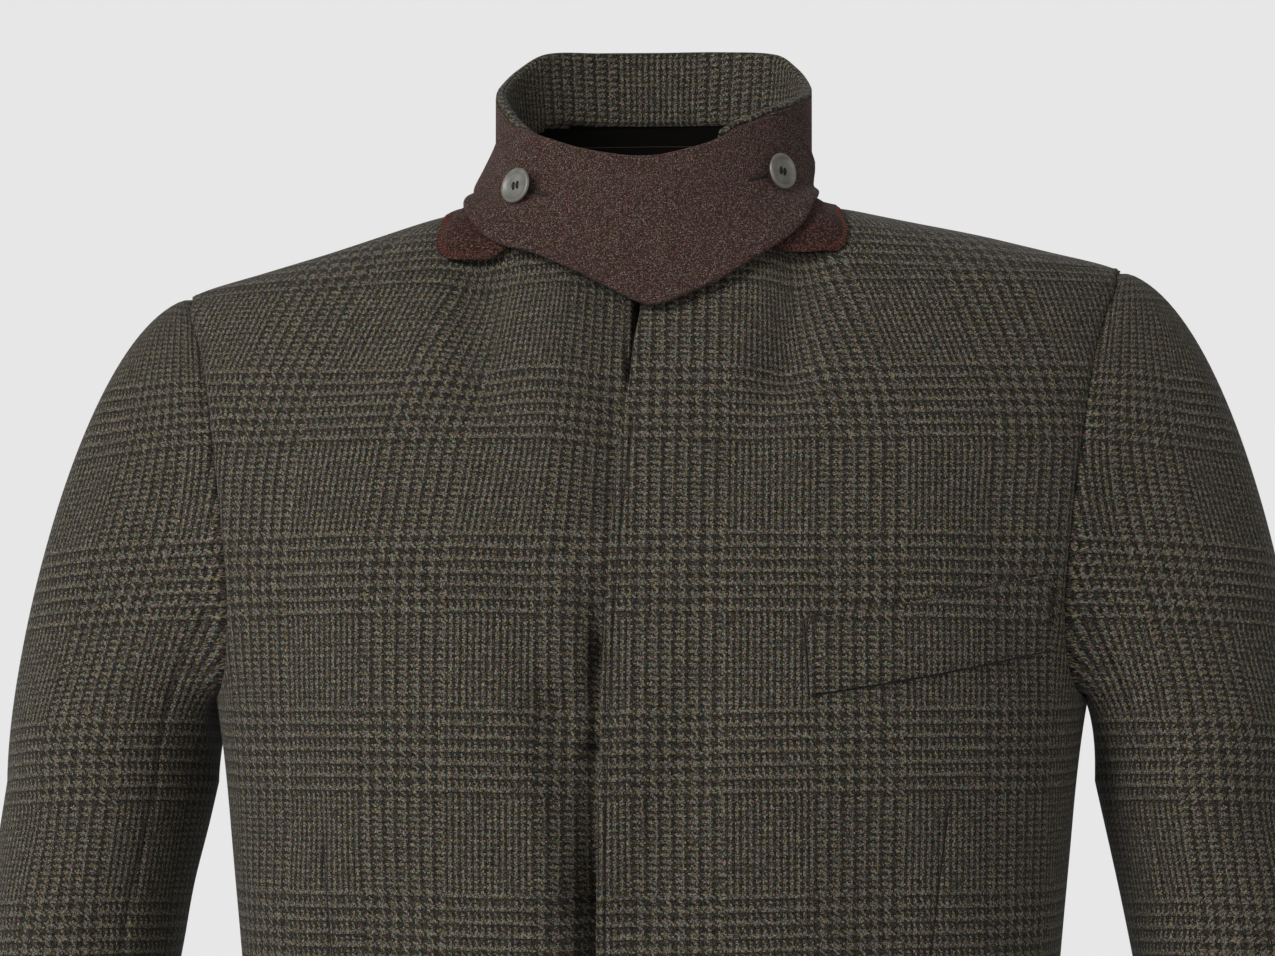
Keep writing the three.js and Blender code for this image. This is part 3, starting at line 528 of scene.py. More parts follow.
FRONT_EDGE = table("z x", [
    (HEM_Z, 92), (-768, 66), (-755, 46), (-735, 27), (-705, 7), (-665, -9), (-615, -18),
    (-540, -19), (-363, -17.2), (-290, -16), (-195, -13), (-120, -8.5), (-75, -4.8), (-48, -3.2),
    (THROAT_Z, -1),
])
NECKLINE = table("z angle", [(THROAT_Z, -0.6), (-8, 12), (-1, 22), (NECK_SEAM_Z, 32)])
GAPE = table("z open", [(-104, 0), (-91, 1.5), (-70, 1.5), (-54, 3.2), (-40, 2), (THROAT_Z, 0)])
EDGE_SEAM = table("z from_edge", [(-780, 3), (-300, 3.3), (-170, 3.6), (-130, 4.5), (-90, 4.6)])
EDGE_SEAM_TOP_Z = -94
EDGE_SEAM_DEPTH = 1.3
WARP_START = {1: -1.9, -1: -48.7}  # where a broad stripe of the warp begins on each front
BACK_WARP_START = 20
DARTS = {1: (0.718, 0.66), -1: (0.74, 0.735)}  # share of the half width, at top and foot
DART_TOP_Z = {1: -284, -1: -290}
DART_FOOT_Z = -545
GUIDE_Z = -330.0  # the level at which a front's columns are spaced


def front_edge_angle(z, side=1):
    """The front edge. The left front's gapes a little just under the throat latch."""
    open_by = read(GAPE, "z", "open", z) if side > 0 else 0
    edge = angle_at(read(FRONT_EDGE, "z", "x", z) + open_by, z)
    return np.where(z > THROAT_Z, read(NECKLINE, "z", "angle", z) * DEGREE, edge)


def row_heights(skirt_step, armhole_steps, shoulder_steps):
    """Levels of a panel's rows from the hem to the neck, closer where the form turns."""
    skirt = np.linspace(HEM_Z, UNDERARM_Z, int((UNDERARM_Z - HEM_Z) / skirt_step))[:-1]
    armhole = armhole_z(np.linspace(pi, 0, armhole_steps))
    shoulder = np.linspace(SHOULDER_TIP_Z, NECK_SEAM_Z, shoulder_steps + 1)[1:]
    return np.concatenate([skirt, armhole, shoulder])


def places_along(length, coarse, fine, bands):
    """Places from 0 to 1 along a length, coarse steps but fine ones in the bands (from, to)."""
    at, places = 0.0, [0.0]
    while at < length:
        close = any(start - coarse < at < end for start, end in bands)
        at += fine if close else coarse
        places.append(min(at, length))
    return np.array(places) / length


def flat_cloth(form, first_u, direction):
    """Unrolls a panel: u runs across from first_u, v up from the chest, true to its lengths."""
    u = first_u[:, None] + direction * running(steps(form, 1), 1)
    rise = steps(form, 0) ** 2 - np.diff(u, axis=0) ** 2
    return u, running(np.sqrt(np.maximum(rise, (0.3 * steps(form, 0)) ** 2)))


def seam_dip(away):
    """How deep the cloth sinks at a distance from a seam."""
    return SEAM_DIP * np.exp(-((away / SEAM_DIP_WIDTH) ** 2))


def stripe_lean(side, x, z):
    """How far the stripes lean to the neck, where the upper chest is drawn in by the collar."""
    def climb(start, full):
        t = np.clip(z - start, 0, full - start)
        return t * t / (2 * (full - start)) + np.maximum(z - full, 0)
    if side > 0:
        return 0.42 * climb(-125, -75) * ease(np.abs(x), 50, 92)
    lean = 0.34 * climb(-118, -75) * ease(np.abs(x), 55, 95)
    return lean + 0.15 * climb(-190, -165) * ease(np.abs(x), 5, 60)


def dart_angle(side, z):
    top, foot = DARTS[side]
    share = mix(foot, top, np.clip((z - DART_FOOT_Z) / (DART_TOP_Z[side] - DART_FOOT_Z), 0, 1))
    half_width, _, _, power = ring_at(z)
    return np.arcsin(share ** (power / 2))


def front_dips(side, angle, z, from_edge):
    """How deep the side seam, the dart and the left front's edge seam sink into a front."""
    dip = seam_dip(from_edge[:, -1:] - from_edge)
    half_width, half_depth, _, _ = ring_at(z)
    from_dart = (np.abs(angle) - dart_angle(side, z)) * mix(half_depth, half_width, 0.45)
    sewn = ease(z, DART_FOOT_Z, DART_FOOT_Z + 40)
    sewn = sewn * (1 - ease(z, DART_TOP_Z[side] - 12, DART_TOP_Z[side]))
    groove = 1.1 * np.exp(-((from_dart / 0.7) ** 2)) + 0.6 * np.exp(-((from_dart / 4) ** 2))
    dip = dip + sewn * groove
    if side > 0:
        seamed = 1 - ease(z, EDGE_SEAM_TOP_Z - 12, EDGE_SEAM_TOP_Z)
        from_line = from_edge - read(EDGE_SEAM, "z", "from_edge", z)
        dip = dip + EDGE_SEAM_DEPTH * seamed * np.exp(-((from_line / 0.6) ** 2))
    return dip


def panel(name, side, angle, z, dips, unroll, start, swell):
    """A front or back: its cloth at these angles and heights, sunk by dips, unrolled for its
    weave, which begins at start."""
    form = form_point(angle, z)
    outer = cloth_point(angle, z, name == "front_right")
    n = grid_normals(outer, outer * (1, 1, 0))
    outer = outer - n * dips(running(steps(form, 1), 1))[..., None]
    u, v = unroll(form)
    v = v - v[np.argmin(np.abs(z[:, 0] - CHEST_Z))]
    uv = np.stack([u + start(form), v], -1)
    made = shell(name + "_cloth", outer, outer - n * TWEED, uv, tweed, swell)
    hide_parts(name)
    return made


def front_panel(side):
    z = row_heights(3.6, 70, 50)
    share = np.linspace(0, 1, 1500)
    guide_z = np.full(1500, GUIDE_Z)
    guide = mix(front_edge_angle(guide_z), armhole_angle(True, guide_z), share)
    run = running(steps(form_point(guide, guide_z), 0))
    dart_run = np.interp(dart_angle(side, guide_z)[0], guide, run)
    bands = [(0, 7 if side > 0 else 17), (dart_run - 9, dart_run + 5), (run[-1] - 6, run[-1])]
    t = np.interp(places_along(run[-1], 3.0, 0.6, bands) * run[-1], run, share)
    angle = side * mix(front_edge_angle(z, side)[:, None], armhole_angle(True, z)[:, None], t)
    z = np.broadcast_to(z[:, None], angle.shape)
    return panel(
        "front_left" if side > 0 else "front_right", side, angle, z,
        dips=lambda from_edge: front_dips(side, angle, z, from_edge),
        unroll=lambda form: flat_cloth(form, form[:, 0, 0], side),
        start=lambda form: side * stripe_lean(side, form[..., 0], form[..., 2]) - WARP_START[side],
        swell=(0.9, 0, 0, 0.9),
    )


def back_panel(side):
    z = row_heights(4.2, 56, 42)
    t = places_along(210, 3.4, 0.7, [(0, 6), (204, 210)])
    angle = side * mix(armhole_angle(False, z)[:, None], pi - 0.0004, t)
    z = np.broadcast_to(z[:, None], angle.shape)

    def unroll(form):
        u, v = flat_cloth(form[:, ::-1], np.zeros(len(form)), side)
        return u[:, ::-1], v[:, ::-1]

    return panel(
        "back_left" if side > 0 else "back_right", side, angle, z,
        dips=lambda from_seam: seam_dip(np.minimum(from_seam, from_seam[:, -1:] - from_seam)),
        unroll=unroll,
        start=lambda form: BACK_WARP_START,
        swell=(0.9, 0, 0, 0),
    )


for side in (1, -1):
    front_panel(side)
    back_panel(side)


def thread_material(name, scale, dark, light, roughness):
    """Spun thread, dark between its plies."""
    made, tree = new_material(name)
    ply = add(tree, "TexNoise", {"Scale": scale, "Detail": 2.0})
    ply = add(tree, "ValToRGB", {0: ply}, ((0.35, dark), (0.7, light)))
    finish_material(tree, {"Base Color": ply, "Roughness": roughness})
    return made


dark_thread = thread_material("waxed_sewing_thread", 2500.0, "#0c0a08", "#1d1814", 0.8)
THREAD_SIDES = 6


def thread_tube(name, paths, radius, material):
    """Threads as round tubes along lists of millimetre points, in one mesh."""
    points, faces = [], []
    sides = np.arange(THREAD_SIDES)
    for path in paths:
        path = np.asarray(path, float)
        ahead = unit(np.gradient(path, axis=0))
        aside = unit(np.cross(ahead, np.array((0.31, 0.52, 0.79))))
        upward = np.cross(ahead, aside)
        turn = 2 * pi * sides[:, None] / THREAD_SIDES
        start = len(points) * THREAD_SIDES
        for i, (p, a, b) in enumerate(zip(path, aside, upward)):
            points.append(p + radius * (a * np.cos(turn) + b * np.sin(turn)))
            low = start + i * THREAD_SIDES + sides
            if i < len(path) - 1:
                quads = [low, np.roll(low, -1), np.roll(low, -1) + THREAD_SIDES, low + THREAD_SIDES]
                faces += np.stack(quads, -1).tolist()
        faces += [(start + sides[::-1]).tolist(), low.tolist()]
    made = mesh_object(name, np.concatenate(points), faces, material)
    made.data.shade_smooth()
    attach(made, "root")
    return made


def on_front(side, angle, z, depth):
    """Places on a front's cloth, pressed in by depth."""
    def cloth(a, h):
        return cloth_point(a, h, side < 0)
    return cloth(angle, z) - surface_normal(cloth, angle, z) * depth


z = np.linspace(EDGE_SEAM_TOP_Z, -700, 240)
edge_x = read(FRONT_EDGE, "z", "x", z) + read(EDGE_SEAM, "z", "from_edge", z)
seam_lines = [on_front(1, angle_at(edge_x, z), z, EDGE_SEAM_DEPTH - 0.1)]
for side in (1, -1):
    z = np.linspace(DART_TOP_Z[side] - 4, DART_FOOT_Z + 30, 90)
    seam_lines.append(on_front(side, side * dart_angle(side, z), z, 1.45))
thread_tube("seam_thread", seam_lines, 0.3, dark_thread)

# ======== Sleeves ========
# Set-in sleeves, each of a wide top piece and a narrower under piece, bent a little forward at
# the elbow, eased into the armhole and open at the cuff.
SLEEVE_RINGS = table("z x y half_width half_depth", [
    (-690, 306, -38, 40.5, 48), (-625, 305, -24, 42, 50.5), (-560, 303, -10, 44, 54),
    (-500, 300, 1, 46, 57), (-462, 297, 6, 47, 58.5), (-430, 294, 7, 47.5, 60),
    (-395, 289, 6, 48.5, 62), (-340, 280, 6, 50, 66), (-280, 269, 8, 52, 69),
])
SLEEVE_FOLDS = table("turn0 z0 turn1 z1 width depth", [
    (40, -405, 120, -432, 15, 4.5), (30, -452, 115, -468, 14, 5), (55, -500, 110, -492, 14, 3),
    (-150, -330, -70, -352, 18, 3), (60, -300, 110, -345, 20, 3.5),
    (-110, -120, -60, -210, 26, 4), (100, -130, 70, -220, 24, 4), (-60, -560, -110, -600, 20, 3),
])
ARMHOLE_CENTRE = np.array((228.0, 2.0, -140.0))
ARMHOLE_GAP = 0.5
SLEEVE_TOP_Z = -280
CUFF_Z = -690
SLEEVE_WRAP = 52  # mean radius, which turns a sleeve's angle to millimetres
ARM_CENTRE_X = 285
FRONT_SEAM_TURN = 126
HIND_SEAM_TURN = -54
CAP_STEPS = 46
ARM_STEP = 4.0
CAP_LEAN = 33
SLEEVE_WARP_START = 22
SLEEVE_PARTS = (  # first and last turn, flat size and area
    ("top_sleeve", HIND_SEAM_TURN, FRONT_SEAM_TURN, (0.215, 0.68), 0.114),
    ("under_sleeve", FRONT_SEAM_TURN, HIND_SEAM_TURN + 360, (0.215, 0.62), 0.088),
)


def sleeve_ring(z):
    columns = ("x", "y", "half_width", "half_depth")
    return [read(SLEEVE_RINGS, "z", name, z) for name in columns]


def arm_ring(side, z, turn):
    x, y, half_width, half_depth = sleeve_ring(z)
    x, y = side * (x + half_width * np.cos(turn)), y - half_depth * np.sin(turn)
    return np.stack([x, y, z + 0 * turn], -1)


def sleeve_surface(side, turns):
    """Grid of a sleeve's outside: rows down from the armhole to the cuff, columns round."""
    wrapped = (turns + pi) % (2 * pi) - pi
    z = armhole_z(np.abs(wrapped))
    angle = side * np.where(wrapped >= 0, armhole_angle(True, z), armhole_angle(False, z))
    start = cloth_point(angle, z)
    n = surface_normal(cloth_point, angle, z)
    inward = ARMHOLE_CENTRE * (side, 1, 1) - start
    inward = unit(inward - n * np.sum(inward * n, -1, keepdims=True))
    start = start + inward * ARMHOLE_GAP
    end = arm_ring(side, np.full_like(turns, SLEEVE_TOP_Z), turns)
    span = np.linalg.norm(end - start, axis=-1, keepdims=True)
    leave = unit(inward * 0.5 + np.array((side, 0, -0.12)))
    low = ease(np.abs(wrapped), 2.2, pi)[:, None]
    rows = []
    for t in np.linspace(0, 1, CAP_STEPS + 1):
        p = start * (2 * t**3 - 3 * t**2 + 1) + end * (3 * t**2 - 2 * t**3)
        p = p + leave * (t**3 - 2 * t**2 + t) * span * mix(0.62, 0.45, low)
        rows.append(p - np.array((0, 0, 1.0)) * (t**3 - t**2) * span * mix(0.8, 0.6, low))
    for height in np.arange(SLEEVE_TOP_Z - ARM_STEP, CUFF_Z - 0.01, -ARM_STEP):
        rows.append(arm_ring(side, np.full_like(turns, height), turns))
    smooth = np.stack(rows)
    normals = grid_normals(smooth, (smooth - (side * ARM_CENTRE_X, 0, 0)) * (1, 1, 0))
    normals[0] = n
    fade = ease(np.minimum(np.arange(len(rows)) / CAP_STEPS, 1), 0, 0.3)[:, None]
    folds = dict(SLEEVE_FOLDS)
    for turn in ("turn0", "turn1"):
        folds[turn] = folds[turn] * DEGREE * SLEEVE_WRAP
    along = np.broadcast_to(wrapped * SLEEVE_WRAP, smooth.shape[:2])
    depth = fade * trough_depth(folds, along, smooth[..., 2])
    return smooth - normals * depth[..., None], normals, smooth


def round_sleeve(side, points, turns):
    """Distance round the sleeve from its outermost line, so that the warp hangs straight."""
    z = points[..., 2]
    x, y, half_width, half_depth = sleeve_ring(z)
    x = x - CAP_LEAN * ease(z, SLEEVE_TOP_Z, -100)
    turn = np.arctan2((y - points[..., 1]) / half_depth, (side * points[..., 0] - x) / half_width)
    turn = turns + (turn - turns + pi) % (2 * pi) - pi
    return (half_width + half_depth) / 2 * turn + (half_depth - half_width) / 4 * np.sin(2 * turn)


for side, hand in ((1, "left"), (-1, "right")):
    for part, first, last, flat, area in SLEEVE_PARTS:
        share = places_along(180, 3.2, 0.9, [(0, 5), (175, 180)])
        turns = radians(first) + share * radians(last - first)
        outer, normals, smooth = sleeve_surface(side, turns)
        across = running(steps(smooth, 1), 1)
        nearest = np.minimum(across, across[:, -1:] - across)
        nearest = np.minimum(nearest, running(steps(smooth, 0).mean(1))[:, None])
        outer = outer - normals * seam_dip(nearest)[..., None]
        down = running(steps(smooth, 0))
        slack = (down[-1:] - down) - (smooth[..., 2] - CUFF_Z)
        v = smooth[..., 2] - CHEST_Z + slack * np.maximum(np.cos(turns), 0) ** 2
        uv = np.stack([round_sleeve(side, smooth, turns) + SLEEVE_WARP_START, v], -1)
        name = f"{part}_{hand}"
        inner = outer - normals * TWEED
        made = shell(name + "_cloth", outer, inner, uv, tweed, swell=(0, 0, 0.9, 0))
        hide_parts(name)

# ======== Melton ========
# Undercollar melton: wool milled and felted until no weave shows, maroon-brown with pale hairs
# lying every way. Fully matt, with a short nap.
HAIR_THICKNESS = 0.17  # drawn a little coarser than real hairs
HAIRS = (  # cell, bend, turn
    (1.2, 0.9, 0.3), (1.5, -0.7, 1.2), (1.9, 0.4, 2.2), (1.4, -1.2, 3.1), (1.7, 1.3, 0.8),
)
PAINTED_SHADE_Z = 0.012  # metres; the painted shade on the wings is full below minus this height and gone above it


def melton_felt(name, pressed):
    """Melton. With pressed set, it gets painted shade: darker and redder below the neck, on the
    wings.
    """
    made, tree = new_material(name)
    uv = add(tree, "UVMap", uv_map="cloth")
    hairs = strands(tree, uv, HAIRS, HAIR_THICKNESS, 1.0)
    felt = {"Vector": uv, "Scale": 1.9, "Detail": 4.0, "Roughness": 0.85}
    felt = add(tree, "TexNoise", felt, noise_dimensions="2D")
    felt = add(tree, "MapRange", {"Value": felt, "From Min": 0.3, "From Max": 0.72})
    cloud = {"Vector": uv, "Scale": 0.12, "Detail": 3.0}
    cloud = add(tree, "TexNoise", cloud, noise_dimensions="2D")
    nap = add(tree, "Math", {0: felt, 1: 0.6}, operation="MULTIPLY")
    nap = add(tree, "Math", {0: hairs, 1: 0.62, 2: nap}, operation="MULTIPLY_ADD")
    stops = ((0.1, "#140c0a"), (0.35, "#2d201d"), (0.62, "#53423b"), (1.0, "#b8a69d"))
    felted = add(tree, "ValToRGB", {0: nap}, stops)
    hues = ((0.35, "#fff3e2"), (0.5, "#ffffff"), (0.65, "#ffe2e6"))
    felted = {0: 0.8, 6: felted, 7: add(tree, "ValToRGB", {0: cloud}, hues)}
    felted = add(tree, "Mix", felted, data_type="RGBA", blend_type="MULTIPLY")
    # painted shade: darker and redder towards the bottom of the undercollar, where the wings lie
    if pressed:
        height = add(tree, "SeparateXYZ", {0: add(tree, "TexCoord").outputs["Object"]})
        height = {"Value": height.outputs[2], "From Min": -PAINTED_SHADE_Z, "From Max": PAINTED_SHADE_Z}
        height = add(tree, "MapRange", height)
        painted_shade = add(tree, "ValToRGB", {0: height}, ((0.0, "#e0c6c0"), (1.0, "#ffffff")))
        felted = {0: 1.0, 6: felted.outputs[2], 7: painted_shade}
        felted = add(tree, "Mix", felted, data_type="RGBA", blend_type="MULTIPLY")
    bump = add(tree, "Bump", {"Height": nap, "Strength": 0.6, "Distance": 0.0002})
    finish_material(
        tree,
        {
            "Base Color": felted.outputs[2],
            "Roughness": 0.95,
            "Specular IOR Level": 0.15,
            "Sheen Weight": 0.04,
            "Sheen Roughness": 0.5,
            "Normal": bump,
        },
    )
    return made


melton = melton_felt("throat_latch_melton_felt", False)
# the undercollar's copy carries painted shade on its wings
melton_with_painted_shade = melton_felt("undercollar_melton_felt", True)

# ======== Collar ========
# A standing collar turned up: melton outside, tweed inside, the tweed rolled over the rim. Its
# two lower ends spread out on the shoulders as wings, felled along the edge with rust thread.
MELTON = 2.0
NECK_Y = 8
COLLAR_HALF_WIDTH = 77.6
COLLAR_HALF_DEPTH = 62
COLLAR_POWER = 2.15
COLLAR_STEPS = (0.01, 0.5)  # angle and height over which its slope is taken
WING_CLEAR = 3.1
FLARE_FRONT = 12
FLARE_BACK = 4
ROLL_HEIGHT = 3
EDGE_PRESSED = 11  # height over which the felled edge is pressed down on the cloth and thinned
EDGE_OUTSIDE = 1.2
EDGE_INSIDE = 0.35
COLLAR_RIM = table("angle z", [
    (34, 37), (40, 41.5), (46, 44), (53, 48), (59, 50.5), (64, 52.5), (73, 56.5), (86, 61),
    (100, 68), (113, 77.6), (124, 85), (150, 88.5), (180, 89), (210, 88.5), (234, 86.5),
    (248, 77.5), (260, 69), (270, 63.5), (283, 56.5), (291, 50.5), (297, 45), (302, 41),
    (308, 36.5), (313, 34), (317, 32.5), (322, 30.5), (326, 29),
])
COLLAR_BASE = table("angle z", [
    (34, -16), (40, -19), (44, -23.3), (49, -24.3), (52.5, -23.6), (55, -23.6), (56.8, -21.8),
    (58.5, -18.9), (60.2, -15.1), (62.6, -10.2), (65.2, -5.1), (69.5, -0.6), (75, 2.6), (90, 4),
    (113, 3.5), (124, 3), (234, 3), (248, 3.5), (270, 4), (281, 2.8), (285.2, 0.8), (288.2, -1.5),
    (292, -5.2), (295.5, -9.4), (297.5, -13.9), (300.5, -20.8), (303.2, -25.4), (305.8, -26.8),
    (308.8, -27.1), (312.5, -26.6), (315.5, -20.5), (318, -17), (326, -16),
])


def body_radius(angle, z):
    """Distance from the collar's axis to the worn form, in the direction of angle."""
    half_width, half_depth, centre_y, power = ring_at(z)
    low, high = 5 + 0 * angle + 0 * z, 320 + 0 * angle + 0 * z
    for _ in range(40):
        r = (low + high) / 2
        x, y = r * np.sin(angle), NECK_Y - r * np.cos(angle) - centre_y
        inside = np.abs(x / half_width) ** power + np.abs(y / half_depth) ** power < 1
        low, high = np.where(inside, r, low), np.where(inside, high, r)
    return (low + high) / 2


def clear_radius(angle, z, clear):
    """The same for the form grown outward along its own normal."""
    foot = z + 0 * angle
    for _ in range(12):
        slope = body_radius(angle, foot + Z_STEP / 2) - body_radius(angle, foot - Z_STEP / 2)
        slope = slope / Z_STEP
        foot = mix(foot, z + clear * slope / np.hypot(1, slope), 0.6)
    return body_radius(angle, foot) + clear / np.hypot(1, slope)


def tube_radius(angle):
    s = np.abs(np.sin(angle)) / COLLAR_HALF_WIDTH
    c = np.abs(np.cos(angle)) / COLLAR_HALF_DEPTH
    return (s**COLLAR_POWER + c**COLLAR_POWER) ** (-1 / COLLAR_POWER)


def on_axis(angle, r, z):
    """Places at a distance r from the collar's upright axis."""
    return np.stack([r * np.sin(angle), NECK_Y - r * np.cos(angle), z], -1)


def collar_point(angle, z):
    tube, body = tube_radius(angle), clear_radius(angle, z, WING_CLEAR)
    soft = mix(FLARE_FRONT, FLARE_BACK, ease(np.abs(angle), 80 * DEGREE, 130 * DEGREE))
    return on_axis(angle, (tube + body + np.hypot(tube - body, soft)) / 2, z)


def collar_wall(angle, z, lift, edge_clear, pressed):
    """A side of the felt: lifted off the collar's form, or laid on the cloth where pressed."""
    standing = collar_point(angle, z) + surface_normal(collar_point, angle, z, *COLLAR_STEPS) * lift
    return mix(standing, on_axis(angle, clear_radius(angle, z, edge_clear), z), pressed)


def unrolled(grid, row):
    """Distance round along one row, and distance up from the foot, for each place of a grid."""
    up = running(steps(grid, 0))
    return np.broadcast_to(running(steps(grid[row], 0)), up.shape), up


collar_degrees = np.linspace(34, 326, 330)
collar_angle = np.where(collar_degrees > 180, collar_degrees - 360, collar_degrees) * DEGREE
rim = read(COLLAR_RIM, "angle", "z", collar_degrees)
base = read(COLLAR_BASE, "angle", "z", collar_degrees)
heights = mix(base, rim - ROLL_HEIGHT + 0.2, np.linspace(0, 1, 52)[:, None] ** 1.4)
angles = np.broadcast_to(collar_angle, heights.shape)
pressed = (1 - ease(heights - base, 0, EDGE_PRESSED))[..., None]
outer = collar_wall(angles, heights, 0, EDGE_OUTSIDE, pressed)
inner = collar_wall(angles, heights, -MELTON, EDGE_INSIDE, pressed)
uv = np.stack(unrolled(outer, -1), -1)
undercollar = shell("undercollar_felt", outer, inner, uv, melton_with_painted_shade, swell=(0.4, 0.4, 0, 0.4))
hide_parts("undercollar")

rust_thread = thread_material("rust_felling_thread", 1800.0, "#52251b", "#7f3f30", 0.75)
FELLING_PITCH = 1.1
FELLING_NEAR = 0.5
FELLING_FAR = 4.0
FELLED = ((41, 70), (288, 320))  # degrees
edge_line = outer[0]
lying = grid_normals(outer, outer * (1, 1, 0))[0]
into = unit(np.cross(lying, unit(np.gradient(edge_line, axis=0))))
into = into * np.where(into[:, 2:] < 0, -1, 1)
paths = []
for first, last in FELLED:
    chosen = (collar_degrees > first) & (collar_degrees < last)
    along = running(steps(edge_line[chosen], 0))
    path = []
    for count, at in enumerate(np.arange(0.6, along[-1], FELLING_PITCH)):
        p, inward, up = [
            np.array([np.interp(at, along, row[chosen][:, k]) for k in range(3)])
            for row in (edge_line, into, lying)
        ]
        reach = FELLING_FAR + 0.5 * sin(2.3 * count) if count % 2 else FELLING_NEAR
        path.append(p + inward * reach + up * (0.12 + 0.12 * reach / FELLING_FAR))
    paths.append(path)
thread_tube("felling_stitches", paths, 0.25, rust_thread)

LEAF_DROP = 37  # the folded leaf hides the stand below this far under the rim
LEAF_BULGE = 2.6
LEAF_FADE = 22
STAND_STEP = 0.9  # how far the stand lies behind the leaf
NECK_FOOT = 1
TOP_COLLAR_OUT = -2.6  # its felt side and its inner side, from the collar's form
TOP_COLLAR_IN = -4.6
ROLL_OUTSIDE = ((0.3, 3.0), (0.75, 2.2), (0.85, 1.6), (0.6, 1.0), (0.0, 0.5), (-0.8, 0.2))
ROLL_INSIDE = ((-4.5, 2.4), (-4.45, 1.9), (-4.3, 1.4), (-4.0, 0.9), (-3.4, 0.4), (-2.4, 0.05))


def ring_point(out, z):
    return on_axis(collar_angle, tube_radius(collar_angle) + out, z)


wall_a, wall_b = [], []
foot = NECK_SEAM_Z + NECK_FOOT
for t in np.linspace(0, 1, 60):
    z = foot + t * (rim - 2.8 - foot)
    leaf = ease(z - rim, -LEAF_DROP - 0.6, -LEAF_DROP + 0.6)
    bulge = leaf * LEAF_BULGE * np.exp(-(((rim - z - LEAF_DROP) / LEAF_FADE) ** 2))
    wall_a.append(ring_point(TOP_COLLAR_OUT, z))
    wall_b.append(ring_point(TOP_COLLAR_IN - bulge + STAND_STEP * (1 - leaf), z))
wall_a = np.array(wall_a + [ring_point(out, rim - down) for out, down in ROLL_OUTSIDE])
wall_b = np.array(wall_b + [ring_point(out, rim - down) for out, down in ROLL_INSIDE])
round_neck, climb = unrolled(wall_b, -1)
uv = np.stack([round_neck - round_neck[0, -1] / 2 - 20, climb + 6], -1)
top_collar = shell("top_collar_cloth", wall_a, wall_b, uv, tweed, swell=(0, 0.5, 0.5, 0.5))
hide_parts("top_collar")

# painted shade: the stand below the leaf lies in shade, so its faces get a near-black material
facing, tree = new_material("stand_painted_shade")
weave = {"Vector": add(tree, "UVMap", uv_map="cloth"), "Scale": 1.6, "Detail": 3.0}
weave = add(tree, "TexNoise", weave, noise_dimensions="2D")
weave = add(tree, "ValToRGB", {0: weave}, ((0.3, "#040403"), (0.7, "#0d0c0a")))
finish_material(tree, {"Base Color": weave, "Roughness": 0.95, "Specular IOR Level": 0.05})
top_collar.data.materials.append(facing)
places = np.empty(len(top_collar.data.vertices) * 3)
top_collar.data.vertices.foreach_get("co", places)
x, y, z = places.reshape(-1, 3).T * 1000
rim_here = read(COLLAR_RIM, "angle", "z", np.arctan2(x, NECK_Y - y) / DEGREE % 360)
below_leaf = rim_here - z > LEAF_DROP + 0.3
for face in top_collar.data.polygons:
    if all(below_leaf[i] for i in face.vertices):
        face.material_index = 1
STAND_SEAM_Z = 41
brown_thread = thread_material("brown_silk_thread", 1800.0, "#1d100c", "#37201a", 0.75)
seam_angle = np.linspace(125, 235, 60) * DEGREE
seam_z = STAND_SEAM_Z - 2.2 * ((seam_angle / pi - 1) / 0.3) ** 2
seam_line = on_axis(seam_angle, tube_radius(seam_angle) - 3.75, seam_z)
thread_tube("stand_seam_thread", [seam_line], 0.16, brown_thread)

# ======== Throat latch ========
# A pointed tab of doubled melton, buttoned at both ends over the collar's fronts. Its edges are
# cut and pressed, and it is drawn a little where the buttons pull.
LATCH = 2.6
LATCH_LIFT = 1.0
LATCH_BEND = 2
LATCH_TOP = table("angle z", [
    (-82, 20.5), (-79, 23.5), (-75, 27), (-71, 32), (-67, 36.5), (-62.6, 39.5), (-58, 39.6),
    (-42, 32.5), (-27, 26.5), (-10.5, 22.8), (-2, 22.3), (6.5, 22.8), (23, 27.5), (31, 31.5),
    (39, 36.5), (47, 41), (53.6, 43.3), (60, 43), (64.3, 39), (69.4, 34), (74, 30), (78, 24.5),
])
LATCH_BASE = table("angle z", [
    (-82, 17), (-79, 13.5), (-75, 9.8), (-65, 2.3), (-60.5, -2), (-56, -7), (-52.5, -11.5),
    (-49, -16), (-45.6, -19.5), (-42, -21.8), (-37.6, -23.5), (-27, -30.5), (-16.6, -38),
    (-6.5, -46), (0, -51), (3, -52), (7, -50.5), (14.8, -45.5), (23.9, -39), (37.4, -25.5),
    (44, -18.5), (50, -10.5), (57.2, 0), (62, 4), (68, 7.5), (73, 11.5), (78, 20.5),
])
# below start the band stands away from the collar, outward by slope
LATCH_STAND = table("angle start slope", [
    (-95, 27, 0.55), (-80, 28, 0.55), (-66, 33, 0.45), (-50, 38, 0.36), (-30, 30, 0.3),
    (0, 22, 0.3), (30, 32, 0.3), (50, 41, 0.3), (64, 41, 0.2), (76, 30, 0.06), (95, 25, 0),
])


def latch_point(angle, z):
    """The latch's inside: on the collar, or standing off it where that turns outward below."""
    def radius(height):
        p = collar_point(angle, height)
        return np.hypot(p[..., 0], p[..., 1] - NECK_Y)
    laid = radius(z) + LATCH_LIFT * np.hypot(1, radius(z + 0.5) - radius(z - 0.5))
    start, slope = [
        read(LATCH_STAND, "angle", column, angle / DEGREE) for column in ("start", "slope")
    ]
    stiff = tube_radius(angle) + LATCH_LIFT + slope * np.maximum(start - z, 0)
    return on_axis(angle, (laid + stiff + np.hypot(laid - stiff, LATCH_BEND)) / 2, z)


def on_latch(angle, z, lift):
    """Places on the latch's outside, raised by lift."""
    n = surface_normal(latch_point, angle, z, *COLLAR_STEPS)
    return latch_point(angle, z) + n * (LATCH + lift)


